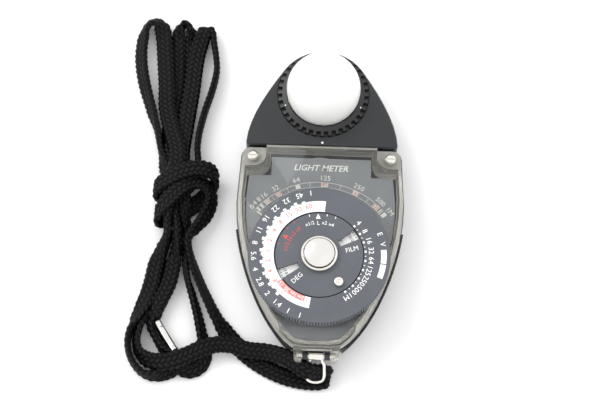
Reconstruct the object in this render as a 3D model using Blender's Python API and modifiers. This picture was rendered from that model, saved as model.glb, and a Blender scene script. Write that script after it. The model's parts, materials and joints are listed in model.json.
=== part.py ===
"""A handheld light meter with a swivelling head, built as an assembly of separate pieces.

The meter lies on its back: +Z is the front, +Y points from the strap lug to the light-collecting
head, and X runs across. Sizes are millimetres. Heights are counted from the back of the case,
and X and Y from the dial's axis, which the empty meter_frame carries.
"""

import math

import bmesh
import bpy
from mathutils import Matrix, Vector
from mathutils.geometry import interpolate_bezier

MM = 0.001
GAP = 0.3  # clearance between pieces that touch or run in each other
WELD = 0.00001  # metres; merge distance of the modifiers
BOOLEAN_REACH = 1.0  # how far a cutter runs past the wall that it cuts

# Case and clear cover
BODY_HALF_WIDTH = 29.2
BODY_TOP = 41.9
BODY_FOOT = -30.6
FOOT_HALF_WIDTH = 8.5
CASE_DEPTH = 13.0
CASE_WALL = 1.8
CASE_FLOOR = 1.6
CASE_UNDERCUT = 5.0  # how far the sides draw in at the back
COVER_HEIGHT = 6.7
COVER_WALL = 1.6
COVER_INSET = 0.3  # the cover stands this far inside the case's edge
CORNER_RADIUS = 2.6
FOOT_SLOPE = 7.4  # how far the cover's foot slopes back from the edge to the deck
FOOT_LIP = 2.2  # upright part of the cover's foot under the slope
NOTCH_INNER_X = 19.3  # the cover's top corners step down outside this
NOTCH_DEPTH = 8.6
NOTCH_FLANGE = 2.0
SCREW_SIDE = 5.2  # screw axis to the case's side and top
SCREW_TOP = 3.6
SCREW_HEAD_RADIUS = 1.9
SCREW_SHANK_RADIUS = 1.0
BOSS_RADIUS = 2.6
BOSS_DEPTH = 5.5
PLATE_THICKNESS = 0.6
PLATE_DROP = 3.2  # deck's underside to the scale plate's face
PLATE_OPENING_RADIUS = 10.0

# Strap lug and ring
LUG_HALF_WIDTH = 7.6
LUG_SLOT_HALF = 5.0
LUG_BAR_RADIUS = 0.8
LUG_BAR_DROP = 1.7  # bar axis beyond the foot of the case
LUG_WALL = 1.0
LUG_BAR_HEIGHT = 12.0
RING_WIRE_RADIUS = 0.6
RING_HALF_WIDTH = 2.9
RING_REACH = 11.4
RING_TILT = math.radians(50.3)  # below the horizontal, as it hangs to the table
BARREL_RADIUS = 1.35
BARREL_HALF = 2.5

# Dial
DIAL_RADIUS = 24.3
DIAL_HEIGHT = 3.6
DIAL_WEB = 1.8
DIAL_TEETH = 90
TOOTH_DEPTH = 0.5
SPEED_DISC_RADIUS = 15.0
SPEED_DISC_THICKNESS = 1.5
SPEED_PIN_RADIUS = 1.6
SPEED_PIN_REACH = 11.9
SPEED_PIN_ANGLE = math.radians(-55)
POST_RADIUS = 3.0
BEZEL_RADIUS = 6.3
BEZEL_HEIGHT = 1.6
BUTTON_RADIUS = 5.2
BUTTON_TRAVEL = 1.2
BUTTON_DOME = 1.5
PLUNGER_RADIUS = 1.2

# Movement
MAGNET_RADIUS = 13.0
MAGNET_WALL = 4.6
CORE_RADIUS = 5.2
COIL_THICKNESS = 0.7
COIL_WIDTH = 3.2
BRIDGE_THICKNESS = 1.0
STAFF_RADIUS = 0.5
JEWEL_RADIUS = 1.2
NEEDLE_REACH = 28.2
NEEDLE_REST = math.radians(141.5)
NEEDLE_WIDTH = 0.5
LEVER_THICKNESS = 0.4
BRAKE_ARM = 9.0
ZERO_ARM = 14.5
ZERO_PIN_OFFSET = 1.0
ZERO_SCREW_RADIUS = 2.0

# Head
NECK_GAP = 0.9
HEAD_HALF_WIDTH = 26.6
HEAD_BACK = 1.5
HEAD_THICKNESS = 14.0
HEAD_WALL = 1.6
RING_CENTRE_RISE = 19.8  # from the head's foot to the dome's axis
DOME_RADIUS = 13.0
DOME_WALL = 1.1
DOME_RING_BAND = 3.1
DOME_RING_HEIGHT = 2.4
DOME_RISE = 5.2  # dome centre above the head's face
HEAD_RIM = 0.7
CELL_THICKNESS = 0.9
TUBE_RADIUS = 3.5
SWIVEL_DROP = 5.0  # swivel axis below the case's top edge
TUBE_WALL = 1.2
TUBE_INSIDE = 5.4  # how far the tube runs into the case
LEAD_RADIUS = 0.35

# Neck cord, a flat braid
CORD_TUBE_RADIUS = 1.1
BIGHT_THINNER = 0.2  # the stretch through the ring is this much finer than the rest
HANK_HEIGHT = 5.2
HANK_FOOT = 0.2
KNOT_CENTRE = (-47.6, 26.6)
KNOT_HALF = (10.3, 14.4, 5.6)
FERRULE_SIZE = (3.6, 12.0, 3.6)
FERRULE_CENTRE = (-52.0, -24.6, 2.9)
FERRULE_TURN = math.radians(33)

# Heights that follow from the sizes above
COVER_FOOT = CASE_DEPTH + GAP
DECK_TOP = COVER_FOOT + COVER_HEIGHT
DECK_UNDER = DECK_TOP - COVER_WALL
PLATE_TOP = DECK_UNDER - PLATE_DROP
POST_FOOT = DECK_UNDER - 0.75
PLUNGER_FOOT = POST_FOOT - GAP
DIAL_FOOT = DECK_TOP + GAP + 0.1
DIAL_TOP = DIAL_FOOT + DIAL_HEIGHT
DISC_FOOT = DIAL_FOOT + DIAL_WEB + GAP
DISC_TOP = DISC_FOOT + SPEED_DISC_THICKNESS
BEZEL_FOOT = DISC_TOP + GAP
BEZEL_TOP = BEZEL_FOOT + BEZEL_HEIGHT
LEVER_FOOT = CASE_FLOOR + GAP
LOWER_BRIDGE_FOOT = LEVER_FOOT + LEVER_THICKNESS + GAP
LOWER_BRIDGE_TOP = LOWER_BRIDGE_FOOT + BRIDGE_THICKNESS
UPPER_BRIDGE_TOP = PLATE_TOP - PLATE_THICKNESS
UPPER_BRIDGE_FOOT = UPPER_BRIDGE_TOP - BRIDGE_THICKNESS
BOSS_TOP = UPPER_BRIDGE_FOOT - 0.4
BOSS_FOOT = BOSS_TOP - 1.1
MAGNET_FOOT = LOWER_BRIDGE_TOP + GAP
MAGNET_TOP = BOSS_FOOT - 1.2
COIL_FOOT = MAGNET_FOOT + 1.1
COIL_TOP = MAGNET_TOP + 0.1
NEEDLE_FOOT = PLATE_TOP + 0.8
HEAD_FOOT = BODY_TOP + NECK_GAP
HEAD_FACE = HEAD_BACK + HEAD_THICKNESS
SWIVEL_HEIGHT = CASE_DEPTH - SWIVEL_DROP
DOME_Y = HEAD_FOOT + RING_CENTRE_RISE
DOME_RING_RADIUS = DOME_RADIUS + DOME_RING_BAND
DOME_CENTRE = HEAD_FACE + DOME_RISE
HEAD_TOP = DOME_Y + DOME_RING_RADIUS + HEAD_RIM
LUG_BAR_Y = BODY_FOOT - LUG_BAR_DROP
RING_TIP_Y = LUG_BAR_Y - RING_REACH * math.cos(RING_TILT) - RING_WIRE_RADIUS
FRAME_Y = -(HEAD_TOP + RING_TIP_Y) / 2

# name: (red, green, blue, alpha), roughness, metallic
FINISHES = {
    "black_plastic": ((0.055, 0.058, 0.062, 1), 0.45, 0.0),
    "clear_acrylic": ((0.86, 0.87, 0.86, 0.3), 0.08, 0.0),
    "dial_black": ((0.075, 0.08, 0.085, 1), 0.4, 0.0),
    "plate_grey": ((0.13, 0.135, 0.14, 1), 0.4, 0.0),
    "diffuser_white": ((0.9, 0.9, 0.88, 1), 0.5, 0.0),
    "bright_metal": ((0.82, 0.82, 0.8, 1), 0.22, 1.0),
    "steel": ((0.6, 0.6, 0.6, 1), 0.35, 1.0),
    "brass": ((0.72, 0.56, 0.28, 1), 0.35, 1.0),
    "aluminium": ((0.75, 0.76, 0.77, 1), 0.4, 1.0),
    "copper_wire": ((0.62, 0.3, 0.16, 1), 0.4, 1.0),
    "needle_white": ((0.85, 0.85, 0.82, 1), 0.5, 0.0),
    "selenium": ((0.16, 0.15, 0.2, 1), 0.3, 0.3),
    "lead_red": ((0.5, 0.05, 0.04, 1), 0.6, 0.0),
    "lead_black": ((0.03, 0.03, 0.03, 1), 0.6, 0.0),
    "resistor_tan": ((0.55, 0.42, 0.28, 1), 0.6, 0.0),
    "cord_black": ((0.012, 0.012, 0.013, 1), 0.85, 0.0),
}


# ---- making and placing ----

def clear_scene():
    for found in list(bpy.data.objects):
        bpy.data.objects.remove(found)


def make_collection(name):
    found = bpy.data.collections.new(name)
    bpy.context.scene.collection.children.link(found)
    return found


def make_empty(name, at, parent=None):
    """An empty that carries pieces, with its place in the parent's frame."""
    empty = bpy.data.objects.new(name, None)
    empty.location = Vector(at) * MM
    empty.parent = parent
    PARTS.objects.link(empty)
    return empty


def finish(name):
    material = bpy.data.materials.get(name)
    if material:
        return material
    colour, roughness, metallic = FINISHES[name]
    material = bpy.data.materials.new(name)
    material.use_nodes = True
    shader = material.node_tree.nodes["Principled BSDF"]
    shader.inputs["Base Color"].default_value = colour
    shader.inputs["Alpha"].default_value = colour[3]
    shader.inputs["Roughness"].default_value = roughness
    shader.inputs["Metallic"].default_value = metallic
    return material


def piece(name, mesh, material, parent, at=(0, 0, 0), turn=(0, 0, 0)):
    """A named piece of the meter from a bmesh in millimetres, which it frees."""
    data = bpy.data.meshes.new(name)
    bmesh.ops.recalc_face_normals(mesh, faces=mesh.faces)
    bmesh.ops.scale(mesh, vec=(MM, MM, MM), verts=mesh.verts)
    mesh.to_mesh(data)
    mesh.free()
    data.shade_smooth()
    data.set_sharp_from_angle(angle=math.radians(35))
    data.materials.append(finish(material))
    made = bpy.data.objects.new(name, data)
    made.location = Vector(at) * MM
    made.rotation_euler = turn
    made.parent = parent
    PARTS.objects.link(made)
    return made


def shape(target, tool, operation):
    """A Boolean on a piece. The tool is a bmesh in millimetres in the piece's own frame."""
    data = bpy.data.meshes.new(f"{target.name}_tool")
    bmesh.ops.recalc_face_normals(tool, faces=tool.faces)
    bmesh.ops.scale(tool, vec=(MM, MM, MM), verts=tool.verts)
    tool.to_mesh(data)
    tool.free()
    cutter = bpy.data.objects.new(data.name, data)
    cutter.parent = target
    cutter.hide_render = True
    cutter.display_type = "WIRE"
    CUTTERS.objects.link(cutter)
    boolean = target.modifiers.new(operation.lower(), "BOOLEAN")
    boolean.operation = operation
    boolean.object = cutter
    boolean.solver = "EXACT"


def cut_with_piece(target, tool, name):
    """Cuts a piece by another object, which has modifiers of its own and becomes a cutter."""
    PARTS.objects.unlink(tool)
    CUTTERS.objects.link(tool)
    tool.hide_render = True
    tool.display_type = "WIRE"
    boolean = target.modifiers.new(name, "BOOLEAN")
    boolean.operation = "DIFFERENCE"
    boolean.object = tool
    boolean.solver = "EXACT"


def cut(target, *tools):
    for tool in tools:
        shape(target, tool, "DIFFERENCE")


def join(target, *tools):
    for tool in tools:
        shape(target, tool, "UNION")


# ---- shapes, each a bmesh in millimetres ----

def cylinder(radius, low, high, at=(0, 0), sides=28):
    mesh = bmesh.new()
    place = Matrix.Translation((at[0], at[1], (low + high) / 2))
    bmesh.ops.create_cone(mesh, cap_ends=True, segments=sides, radius1=radius, radius2=radius,
                          depth=high - low, matrix=place)
    return mesh


def along_y(mesh, height):
    """Turns a shape made about Z so that its +Z points along +Y, at this height."""
    place = Matrix.Translation((0, 0, height)) @ Matrix.Rotation(math.radians(-90), 4, "X")
    bmesh.ops.transform(mesh, matrix=place, verts=mesh.verts)
    return mesh


def along_x(mesh, y, height):
    """Turns a shape made about Z so that its +Z points along +X."""
    place = Matrix.Translation((0, y, height)) @ Matrix.Rotation(math.radians(90), 4, "Y")
    bmesh.ops.transform(mesh, matrix=place, verts=mesh.verts)
    return mesh


def block(low, high):
    mesh = bmesh.new()
    size = Vector(high) - Vector(low)
    place = Matrix.Translation((Vector(high) + Vector(low)) / 2)
    bmesh.ops.create_cube(mesh, size=1, matrix=place @ Matrix.Diagonal((*size, 1)))
    return mesh


def prism(outline, low, high):
    """A flat outline given as (x, y) points, raised from one height to another."""
    mesh = bmesh.new()
    face = mesh.faces.new([mesh.verts.new((x, y, low)) for x, y in outline])
    raised = bmesh.ops.extrude_face_region(mesh, geom=[face])["geom"]
    top = [part for part in raised if isinstance(part, bmesh.types.BMVert)]
    bmesh.ops.translate(mesh, verts=top, vec=(0, 0, high - low))
    return mesh


def loft(sections):
    """A solid through (height, outline) sections with the same number of points."""
    mesh = bmesh.new()
    rings = [[mesh.verts.new((x, y, height)) for x, y in outline] for height, outline in sections]
    for lower, upper in zip(rings, rings[1:]):
        for i in range(len(lower)):
            k = (i + 1) % len(lower)
            mesh.faces.new((lower[i], lower[k], upper[k], upper[i]))
    mesh.faces.new(list(reversed(rings[0])))
    mesh.faces.new(rings[-1])
    return mesh


def turned(name, profile, material, parent, at=(0, 0, 0), steps=28, closed=True, turn=(0, 0, 0)):
    """A turned piece. The profile's (radius, height) points run down the outside, then up inside."""
    mesh = bmesh.new()
    points = [mesh.verts.new((radius, 0, height)) for radius, height in profile]
    for first, second in zip(points, points[1:]):
        mesh.edges.new((first, second))
    if closed:
        mesh.edges.new((points[-1], points[0]))
    made = piece(name, mesh, material, parent, at, turn)
    screw = made.modifiers.new("turned", "SCREW")
    screw.steps = steps
    screw.render_steps = steps
    screw.use_merge_vertices = True
    screw.merge_threshold = WELD
    screw.use_smooth_shade = True
    return made


def washer(name, inner, outer, low, high, material, parent, at=(0, 0, 0), steps=28, turn=(0, 0, 0)):
    profile = [(outer, high), (outer, low), (inner, low), (inner, high)]
    return turned(name, profile, material, parent, at, steps, turn=turn)


def tube_mesh(points, radius, closed=False, resolution=2):
    """A bmesh of a tube along points in millimetres, its caps welded."""
    data = bpy.data.curves.new("tube", "CURVE")
    data.dimensions = "3D"
    data.bevel_depth = radius
    data.bevel_resolution = resolution
    data.use_fill_caps = True
    spline = data.splines.new("POLY")
    spline.points.add(len(points) - 1)
    for place, point in zip(spline.points, points):
        place.co = (*point, 1)
    spline.use_cyclic_u = closed
    guide = bpy.data.objects.new("tube", data)
    CUTTERS.objects.link(guide)
    bpy.context.view_layer.update()
    evaluated = guide.evaluated_get(bpy.context.evaluated_depsgraph_get())
    data_mesh = bpy.data.meshes.new_from_object(evaluated)
    mesh = bmesh.new()
    mesh.from_mesh(data_mesh)
    bmesh.ops.remove_doubles(mesh, verts=mesh.verts, dist=0.001)
    bpy.data.objects.remove(guide)
    return mesh


def smooth_curve(knots, spacing):
    """Points along a smooth curve through 3D knots, about this far apart."""
    knots = [Vector(k) for k in knots]
    ends = [2 * knots[0] - knots[1], *knots, 2 * knots[-1] - knots[-2]]
    points = []
    for i in range(1, len(ends) - 2):
        start, stop = ends[i], ends[i + 1]
        count = max(2, round((stop - start).length / spacing) + 1)
        out = start + (stop - ends[i - 1]) / 6
        back = stop - (ends[i + 2] - start) / 6
        points += interpolate_bezier(start, out, back, stop, count)[:-1]
    return [*points, knots[-1]]


def round_outline(knots, spacing):
    """A closed smooth outline through (x, y) knots, about this far between points."""
    knots = [Vector((x, y, 0)) for x, y in knots]
    count = len(knots)
    points = []
    for i in range(count):
        before, start, stop, after = (knots[(i + k) % count] for k in (-1, 0, 1, 2))
        steps = max(2, round((stop - start).length / spacing) + 1)
        out = start + (stop - before) / 6
        back = stop - (after - start) / 6
        points += interpolate_bezier(start, out, back, stop, steps)[:-1]
    return [(point.x, point.y) for point in points]


def arc(centre, radius, start, stop, steps):
    """Points on an arc, with its angles in degrees."""
    angles = [math.radians(start + (stop - start) * i / steps) for i in range(steps + 1)]
    return [(centre[0] + radius * math.cos(a), centre[1] + radius * math.sin(a)) for a in angles]


def mirrored(half):
    """A whole outline from its right half, which starts and ends beside the axis."""
    return half + [(-x, y) for x, y in reversed(half)]


def bezier_run(start, out, back, stop, steps):
    points = interpolate_bezier(*(Vector((*p, 0)) for p in (start, out, back, stop)), steps)
    return [(point.x, point.y) for point in points]


# ---- outlines ----

def body_outline(inset=0.0, top_inset=0.0):
    """The case's outline: straight shoulders, full hips and a narrow foot, drawn in by an inset."""
    wide = BODY_HALF_WIDTH - inset
    top = BODY_TOP - top_inset
    foot = BODY_FOOT + inset
    foot_x = FOOT_HALF_WIDTH - 0.3 * inset
    hip = BODY_TOP * 0.52
    corner = CORNER_RADIUS
    run = bezier_run((foot_x, foot + 0.5), (foot_x + 9.4, foot + 6.2), (wide, hip - 21), (wide, hip), 11)
    shoulder = arc((wide - 1.0 - corner, top - corner), corner, 0, 90, 3)
    return mirrored([(foot_x * 0.5, foot), *run, *shoulder])


def head_outline(inset=0.0):
    """The head's outline: a flat foot, bowed sides, and a top that follows the dome's ring."""
    wide = HEAD_HALF_WIDTH - inset
    foot = HEAD_FOOT + inset
    radius = DOME_RING_RADIUS + HEAD_RIM - inset
    meet = math.radians(35)
    end = (radius * math.cos(meet), DOME_Y + radius * math.sin(meet))
    back = (end[0] + 12 * math.sin(meet), end[1] - 12 * math.cos(meet))
    corner = arc((wide - 1.2, foot + 1.2), 1.2, -90, 0, 3)
    side = bezier_run((wide, foot + 1.3), (wide - 0.5, foot + 9.5), back, end, 8)
    top = arc((0, DOME_Y), radius, 35, 86, 6)[1:]
    return mirrored([*corner, *side, *top])


def notch_outline(side):
    """The stepped-down corner of the cover round a screw, on one side."""
    outer = BODY_HALF_WIDTH + BOOLEAN_REACH
    high = BODY_TOP + BOOLEAN_REACH
    low = BODY_TOP - NOTCH_DEPTH
    inner = NOTCH_INNER_X
    curve = arc((inner + 4.5, low + 4.5), 4.5, 180, 270, 6)
    points = [(inner, high), *curve, (outer, low), (outer, high)]
    return [(side * x, y) for x, y in points]


# ---- case and cover ----

def rear_case(parent):
    top = CASE_DEPTH
    levels = [(0, CASE_UNDERCUT), (0.9, CASE_UNDERCUT - 1.5), (top * 0.28, 2.0), (top * 0.6, 0.7), (top, 0)]
    shell = loft([(z, body_outline(inset)) for z, inset in levels])
    case = piece("rear_case", shell, "black_plastic", parent)
    inside = [(max(z, CASE_FLOOR), inset + CASE_WALL) for z, inset in levels[1:]]
    inside[-1] = (top + BOOLEAN_REACH, CASE_WALL)
    cut(case, loft([(z, body_outline(inset, CASE_WALL)) for z, inset in inside]))
    for side in (-1, 1):
        at = screw_place(side)
        join(case, cylinder(BOSS_RADIUS, top - BOSS_DEPTH, top, at, 20))
        cut(case, cylinder(SCREW_SHANK_RADIUS + 0.15, top - 6, top + 1, at, 16))
    for at in movement_screw_places():
        join(case, cylinder(2.4, CASE_FLOOR - 0.5, LOWER_BRIDGE_FOOT - GAP, at, 20))
    bush_seat = TUBE_RADIUS + 2 * GAP + 1.0
    hole = along_y(cylinder(bush_seat, BODY_TOP - CASE_WALL - 1, BODY_TOP + 1), SWIVEL_HEIGHT)
    recess = prism(rear_plate_outline(GAP), -1, 0.8)
    cut(case, hole, recess, cylinder(ZERO_SCREW_RADIUS + GAP, -1, CASE_FLOOR + 1, (0, -ZERO_ARM), 24))
    return case


def screw_place(side):
    return (side * (BODY_HALF_WIDTH - SCREW_SIDE), BODY_TOP - SCREW_TOP)


def movement_screw_places():
    reach = MAGNET_RADIUS + 3.4
    return [(-reach, 0), (reach, 0)]


def rear_plate_outline(grow=0.0):
    wide, low, high = 15.5 + grow, -5 - grow, 30 + grow
    corner = 3.0
    lower = arc((wide - corner, low + corner), corner, -90, 0, 4)
    upper = arc((wide - corner, high - corner), corner, 0, 90, 4)
    return mirrored(lower + upper)


def rear_plate(parent):
    return piece("rear_plate", prism(rear_plate_outline(), 0, 0.5), "aluminium", parent)


def clear_cover(parent):
    levels = [(COVER_FOOT, COVER_INSET), (DECK_TOP - 1.2, COVER_INSET + 0.4), (DECK_TOP, COVER_INSET + 1.6)]
    outer = [(z, body_outline(inset, inset - COVER_INSET)) for z, inset in levels]
    cover = piece("clear_cover", loft(outer), "clear_acrylic", parent)
    join(cover, lug_block())
    inner = COVER_INSET + 0.4 + COVER_WALL
    cavity = [(COVER_FOOT - 1, body_outline(inner, COVER_WALL)),
              (DECK_UNDER, body_outline(inner + 0.6, COVER_WALL + 0.6))]
    hollow = piece("hollow", loft(cavity), "clear_acrylic", parent)
    cut(hollow, foot_wedge(COVER_WALL * 1.2))
    for side in (-1, 1):
        keep = [(side * (abs(x) - COVER_WALL), y - COVER_WALL) for x, y in notch_outline(side)]
        cut(hollow, prism(keep, COVER_FOOT + NOTCH_FLANGE - COVER_WALL, DECK_TOP),
            cylinder(BOSS_RADIUS + 0.8, COVER_FOOT - 2, DECK_TOP, screw_place(side), 20))
    cut_with_piece(cover, hollow, "hollow")
    cut(cover, foot_wedge(0.0))
    for side in (-1, 1):
        cut(cover, prism(notch_outline(side), COVER_FOOT + NOTCH_FLANGE, DECK_TOP + 1),
            cylinder(SCREW_SHANK_RADIUS + GAP, COVER_FOOT - 2, DECK_TOP, screw_place(side), 16))
    cut(cover, cylinder(POST_RADIUS + GAP, DECK_UNDER - 1, DECK_TOP + 1, sides=32))
    cut(cover, *lug_cutters())
    return cover


def foot_wedge(wall):
    """What the sloping foot of the cover takes away, or of its hollow when given a wall."""
    high, low = DECK_TOP + 2, COVER_FOOT + FOOT_LIP
    upper_y, lower_y = BODY_FOOT + FOOT_SLOPE + wall, BODY_FOOT - 0.4 + wall
    clear_y = BODY_FOOT - 6
    profile = [(upper_y, DECK_TOP), (lower_y, low), (clear_y, low), (clear_y, high), (upper_y, high)]
    mesh = prism([(y, z) for y, z in profile], -BODY_HALF_WIDTH, BODY_HALF_WIDTH)
    turn = Matrix(((0, 0, 1), (1, 0, 0), (0, 1, 0)))
    bmesh.ops.transform(mesh, matrix=turn.to_4x4(), verts=mesh.verts)
    return mesh


def lug_block():
    """The strap lug's two cheeks and the web that ties them to the cover."""
    low = LUG_BAR_HEIGHT - LUG_BAR_RADIUS - LUG_WALL - 0.4
    tip = LUG_BAR_Y - LUG_BAR_RADIUS - LUG_WALL
    half = [(0.5, BODY_FOOT + 3), (LUG_HALF_WIDTH + 1.2, BODY_FOOT + 3),
            (LUG_HALF_WIDTH, BODY_FOOT - GAP - 0.3),
            *arc((LUG_HALF_WIDTH - 1.4, tip + 1.4), 1.4, 0, -90, 3)]
    return prism(mirrored(list(reversed(half))), low, COVER_FOOT + FOOT_LIP)


def lug_cutters():
    low = LUG_BAR_HEIGHT - LUG_BAR_RADIUS - LUG_WALL - 2
    wide = LUG_HALF_WIDTH + 3
    behind = block((-wide, BODY_FOOT - GAP, low), (wide, BODY_FOOT + 6, COVER_FOOT))
    slot = block((-LUG_SLOT_HALF, LUG_BAR_Y - 6, low), (LUG_SLOT_HALF, BODY_FOOT - GAP + 0.05, DECK_TOP))
    bore = along_x(cylinder(LUG_BAR_RADIUS + 0.1, -LUG_HALF_WIDTH + 0.8, LUG_HALF_WIDTH - 0.8, sides=16),
                   LUG_BAR_Y, LUG_BAR_HEIGHT)
    return behind, slot, bore


def cover_screws(parent):
    foot = COVER_FOOT + NOTCH_FLANGE + GAP
    for name, side in (("cover_screw_left", -1), ("cover_screw_right", 1)):
        at = screw_place(side)
        tip = CASE_DEPTH - BOSS_DEPTH + 0.5
        profile = [(0, foot + 1.4), (SCREW_HEAD_RADIUS - 0.5, foot + 1.4), (SCREW_HEAD_RADIUS, foot + 0.9),
                   (SCREW_HEAD_RADIUS, foot), (SCREW_SHANK_RADIUS, foot), (SCREW_SHANK_RADIUS, tip), (0, tip)]
        screw = turned(name, profile, "bright_metal", parent, (*at, 0), 20, closed=False)
        slot = SCREW_HEAD_RADIUS + 1
        cut(screw, block((-slot, -0.25, foot + 0.8), (slot, 0.25, foot + 3)))


def scale_plate(parent):
    """The printed plate under the deck, open over the movement and along the upper bridge."""
    inset = COVER_INSET + 0.4 + COVER_WALL + 0.6 + GAP
    top = BODY_TOP - NOTCH_DEPTH - COVER_WALL - GAP
    low, high = PLATE_TOP - PLATE_THICKNESS, PLATE_TOP
    outline = without_doubles([(x, min(y, top)) for x, y in body_outline(inset, inset)])
    plate = piece("scale_plate", prism(outline, low, high), "plate_grey", parent)
    tab_x = NOTCH_INNER_X - COVER_WALL - GAP
    join(plate, block((-tab_x, top - 3, low), (tab_x, BODY_TOP - inset - 0.6, high)))
    slot_x, slot_y = 5.0, -(MAGNET_RADIUS + 0.4)
    cut(plate, cylinder(PLATE_OPENING_RADIUS, low - 1, high + 1, sides=32),
        block((-slot_x, slot_y, low - 1), (slot_x, 0, high + 1)))
    return plate


def without_doubles(points):
    """Drops points that coincide, which a clamp on an outline leaves."""
    kept = []
    for point in points:
        if not kept or math.dist(point, kept[-1]) > 0.05:
            kept.append(point)
    return kept


def lug_fittings(parent):
    reach = LUG_HALF_WIDTH - 1.0
    bar = along_x(cylinder(LUG_BAR_RADIUS, -reach, reach, sides=16), LUG_BAR_Y, LUG_BAR_HEIGHT)
    piece("lug_bar", bar, "bright_metal", parent)
    for name, side in (("lug_spacer_left", -1), ("lug_spacer_right", 1)):
        low, high = BARREL_HALF + GAP, LUG_SLOT_HALF - GAP
        washer(name, LUG_BAR_RADIUS + 0.1, BARREL_RADIUS, low, high, "black_plastic", parent,
               (0, LUG_BAR_Y, LUG_BAR_HEIGHT), 16, (0, side * math.radians(90), 0))


def strap_ring(parent):
    """A wire loop on a rolled barrel. It is made pointing along -Y and then tilted to the table."""
    barrel = cylinder(BARREL_RADIUS, -BARREL_HALF, BARREL_HALF, sides=20)
    ring = piece("strap_ring", along_x(barrel, 0, 0), "bright_metal", parent, turn=(RING_TILT, 0, 0))
    half = RING_HALF_WIDTH
    bend = half - 0.4
    leg_x = BARREL_HALF - RING_WIRE_RADIUS
    tip = -(RING_REACH - bend)
    curve = [(x, tip + (y - tip) * bend / half, 0) for x, y in arc((0, tip), half, 0, -180, 12)]
    start = [(leg_x, -1.15, 0), (leg_x + 0.1, -2.0, 0), (half, -3.6, 0)]
    end = [(-x, y, z) for x, y, z in reversed(start)]
    join(ring, tube_mesh([*start, *curve, *end], RING_WIRE_RADIUS))
    cut(ring, along_x(cylinder(LUG_BAR_RADIUS + 0.15, -BARREL_HALF - 1, BARREL_HALF + 1, sides=16), 0, 0))
    return ring


# ---- dial and button ----

def knurled_outline(radius, teeth, depth):
    points = []
    for i in range(teeth):
        for k, r in ((0.0, radius - depth), (0.5, radius)):
            angle = 2 * math.pi * (i + k) / teeth
            points.append((r * math.cos(angle), r * math.sin(angle)))
    return points


def dial_ring(parent):
    outline = knurled_outline(DIAL_RADIUS, DIAL_TEETH, TOOTH_DEPTH)
    dial = piece("dial_ring", prism(outline, DIAL_FOOT, DIAL_TOP), "dial_black", parent)
    cut(dial, cylinder(SPEED_DISC_RADIUS + GAP, DIAL_FOOT + DIAL_WEB, DIAL_TOP + 1, sides=48),
        cylinder(POST_RADIUS + GAP, DIAL_FOOT - 1, DIAL_TOP + 1, sides=32),
        cylinder(POST_RADIUS + 2.2, DIAL_FOOT - 1, DIAL_FOOT + 0.9, sides=32))


def wedge_outline(angle, inner, outer, inner_half, outer_half):
    """A window in the speed disc, wider outwards, along a direction."""
    run = Vector((math.cos(angle), math.sin(angle)))
    across = Vector((-run.y, run.x))
    corners = ((inner, -inner_half), (outer, -outer_half), (outer, outer_half), (inner, inner_half))
    return [tuple(run * r + across * s) for r, s in corners]


def speed_disc(parent):
    profile = [(SPEED_DISC_RADIUS, DISC_TOP), (SPEED_DISC_RADIUS, DISC_FOOT), (POST_RADIUS + GAP, DISC_FOOT),
               (POST_RADIUS + GAP, DISC_TOP)]
    disc = turned("speed_disc", profile, "dial_black", parent, steps=48)
    for degrees in (25, 205):
        window = wedge_outline(math.radians(degrees), BEZEL_RADIUS + 1.6, SPEED_DISC_RADIUS - 1.2, 1.0, 1.9)
        cut(disc, prism(window, DISC_FOOT - 1, DISC_TOP + 1))
    cut(disc, cylinder(0.7, DISC_FOOT - 1, DISC_TOP + 1, pin_place(), 16))
    return disc


def pin_place():
    return (SPEED_PIN_REACH * math.cos(SPEED_PIN_ANGLE), SPEED_PIN_REACH * math.sin(SPEED_PIN_ANGLE))


def speed_pin(parent):
    foot = DISC_TOP + 0.15
    profile = [(0, foot + 1.5), (SPEED_PIN_RADIUS - 0.3, foot + 1.5), (SPEED_PIN_RADIUS, foot + 1.2),
               (SPEED_PIN_RADIUS, foot), (0.5, foot), (0.5, DISC_FOOT + 0.1), (0, DISC_FOOT + 0.1)]
    return turned("speed_pin", profile, "bright_metal", parent, (*pin_place(), 0), 20, closed=False)


def dial_post(parent):
    flange = POST_FOOT + 0.6
    inner = PLUNGER_RADIUS + GAP
    profile = [(POST_RADIUS, BEZEL_FOOT + 0.6), (POST_RADIUS, flange), (POST_RADIUS + 1.5, flange),
               (POST_RADIUS + 1.5, POST_FOOT), (inner, POST_FOOT), (inner, BEZEL_FOOT + 0.6)]
    turned("dial_post", profile, "brass", parent, steps=28)
    low, high = DIAL_FOOT - 0.1, DIAL_FOOT + 0.5
    washer("dial_washer", POST_RADIUS + GAP, POST_RADIUS + 1.7, low, high, "steel", parent)


def button_bezel(parent):
    """The rim round the button, with a seat that screws over the post."""
    inner = BUTTON_RADIUS + GAP
    profile = [(inner, BEZEL_TOP), (inner + 0.25, BEZEL_TOP + 0.1), (BEZEL_RADIUS - 0.2, BEZEL_TOP - 0.2),
               (BEZEL_RADIUS, BEZEL_TOP - 0.6), (BEZEL_RADIUS, BEZEL_FOOT), (POST_RADIUS + 0.15, BEZEL_FOOT),
               (POST_RADIUS + 0.15, BEZEL_FOOT + 0.4), (inner, BEZEL_FOOT + 0.4)]
    return turned("button_bezel", profile, "bright_metal", parent, steps=32)


def button(parent):
    foot = BEZEL_FOOT + 0.4 + BUTTON_TRAVEL + GAP
    top = foot + BUTTON_DOME
    dome = [(BUTTON_RADIUS * math.sin(math.radians(a)), top - 1.2 + 1.2 * math.cos(math.radians(a)))
            for a in range(0, 91, 18)]
    inner = BUTTON_RADIUS - 0.8
    profile = [*dome, (BUTTON_RADIUS, foot), (inner, foot), (inner, foot + 0.1), (0, foot + 0.1)]
    cap = turned("button_cap", profile, "bright_metal", parent, closed=False)
    join(cap, cylinder(PLUNGER_RADIUS, PLUNGER_FOOT, foot + 0.5, sides=20))


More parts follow.
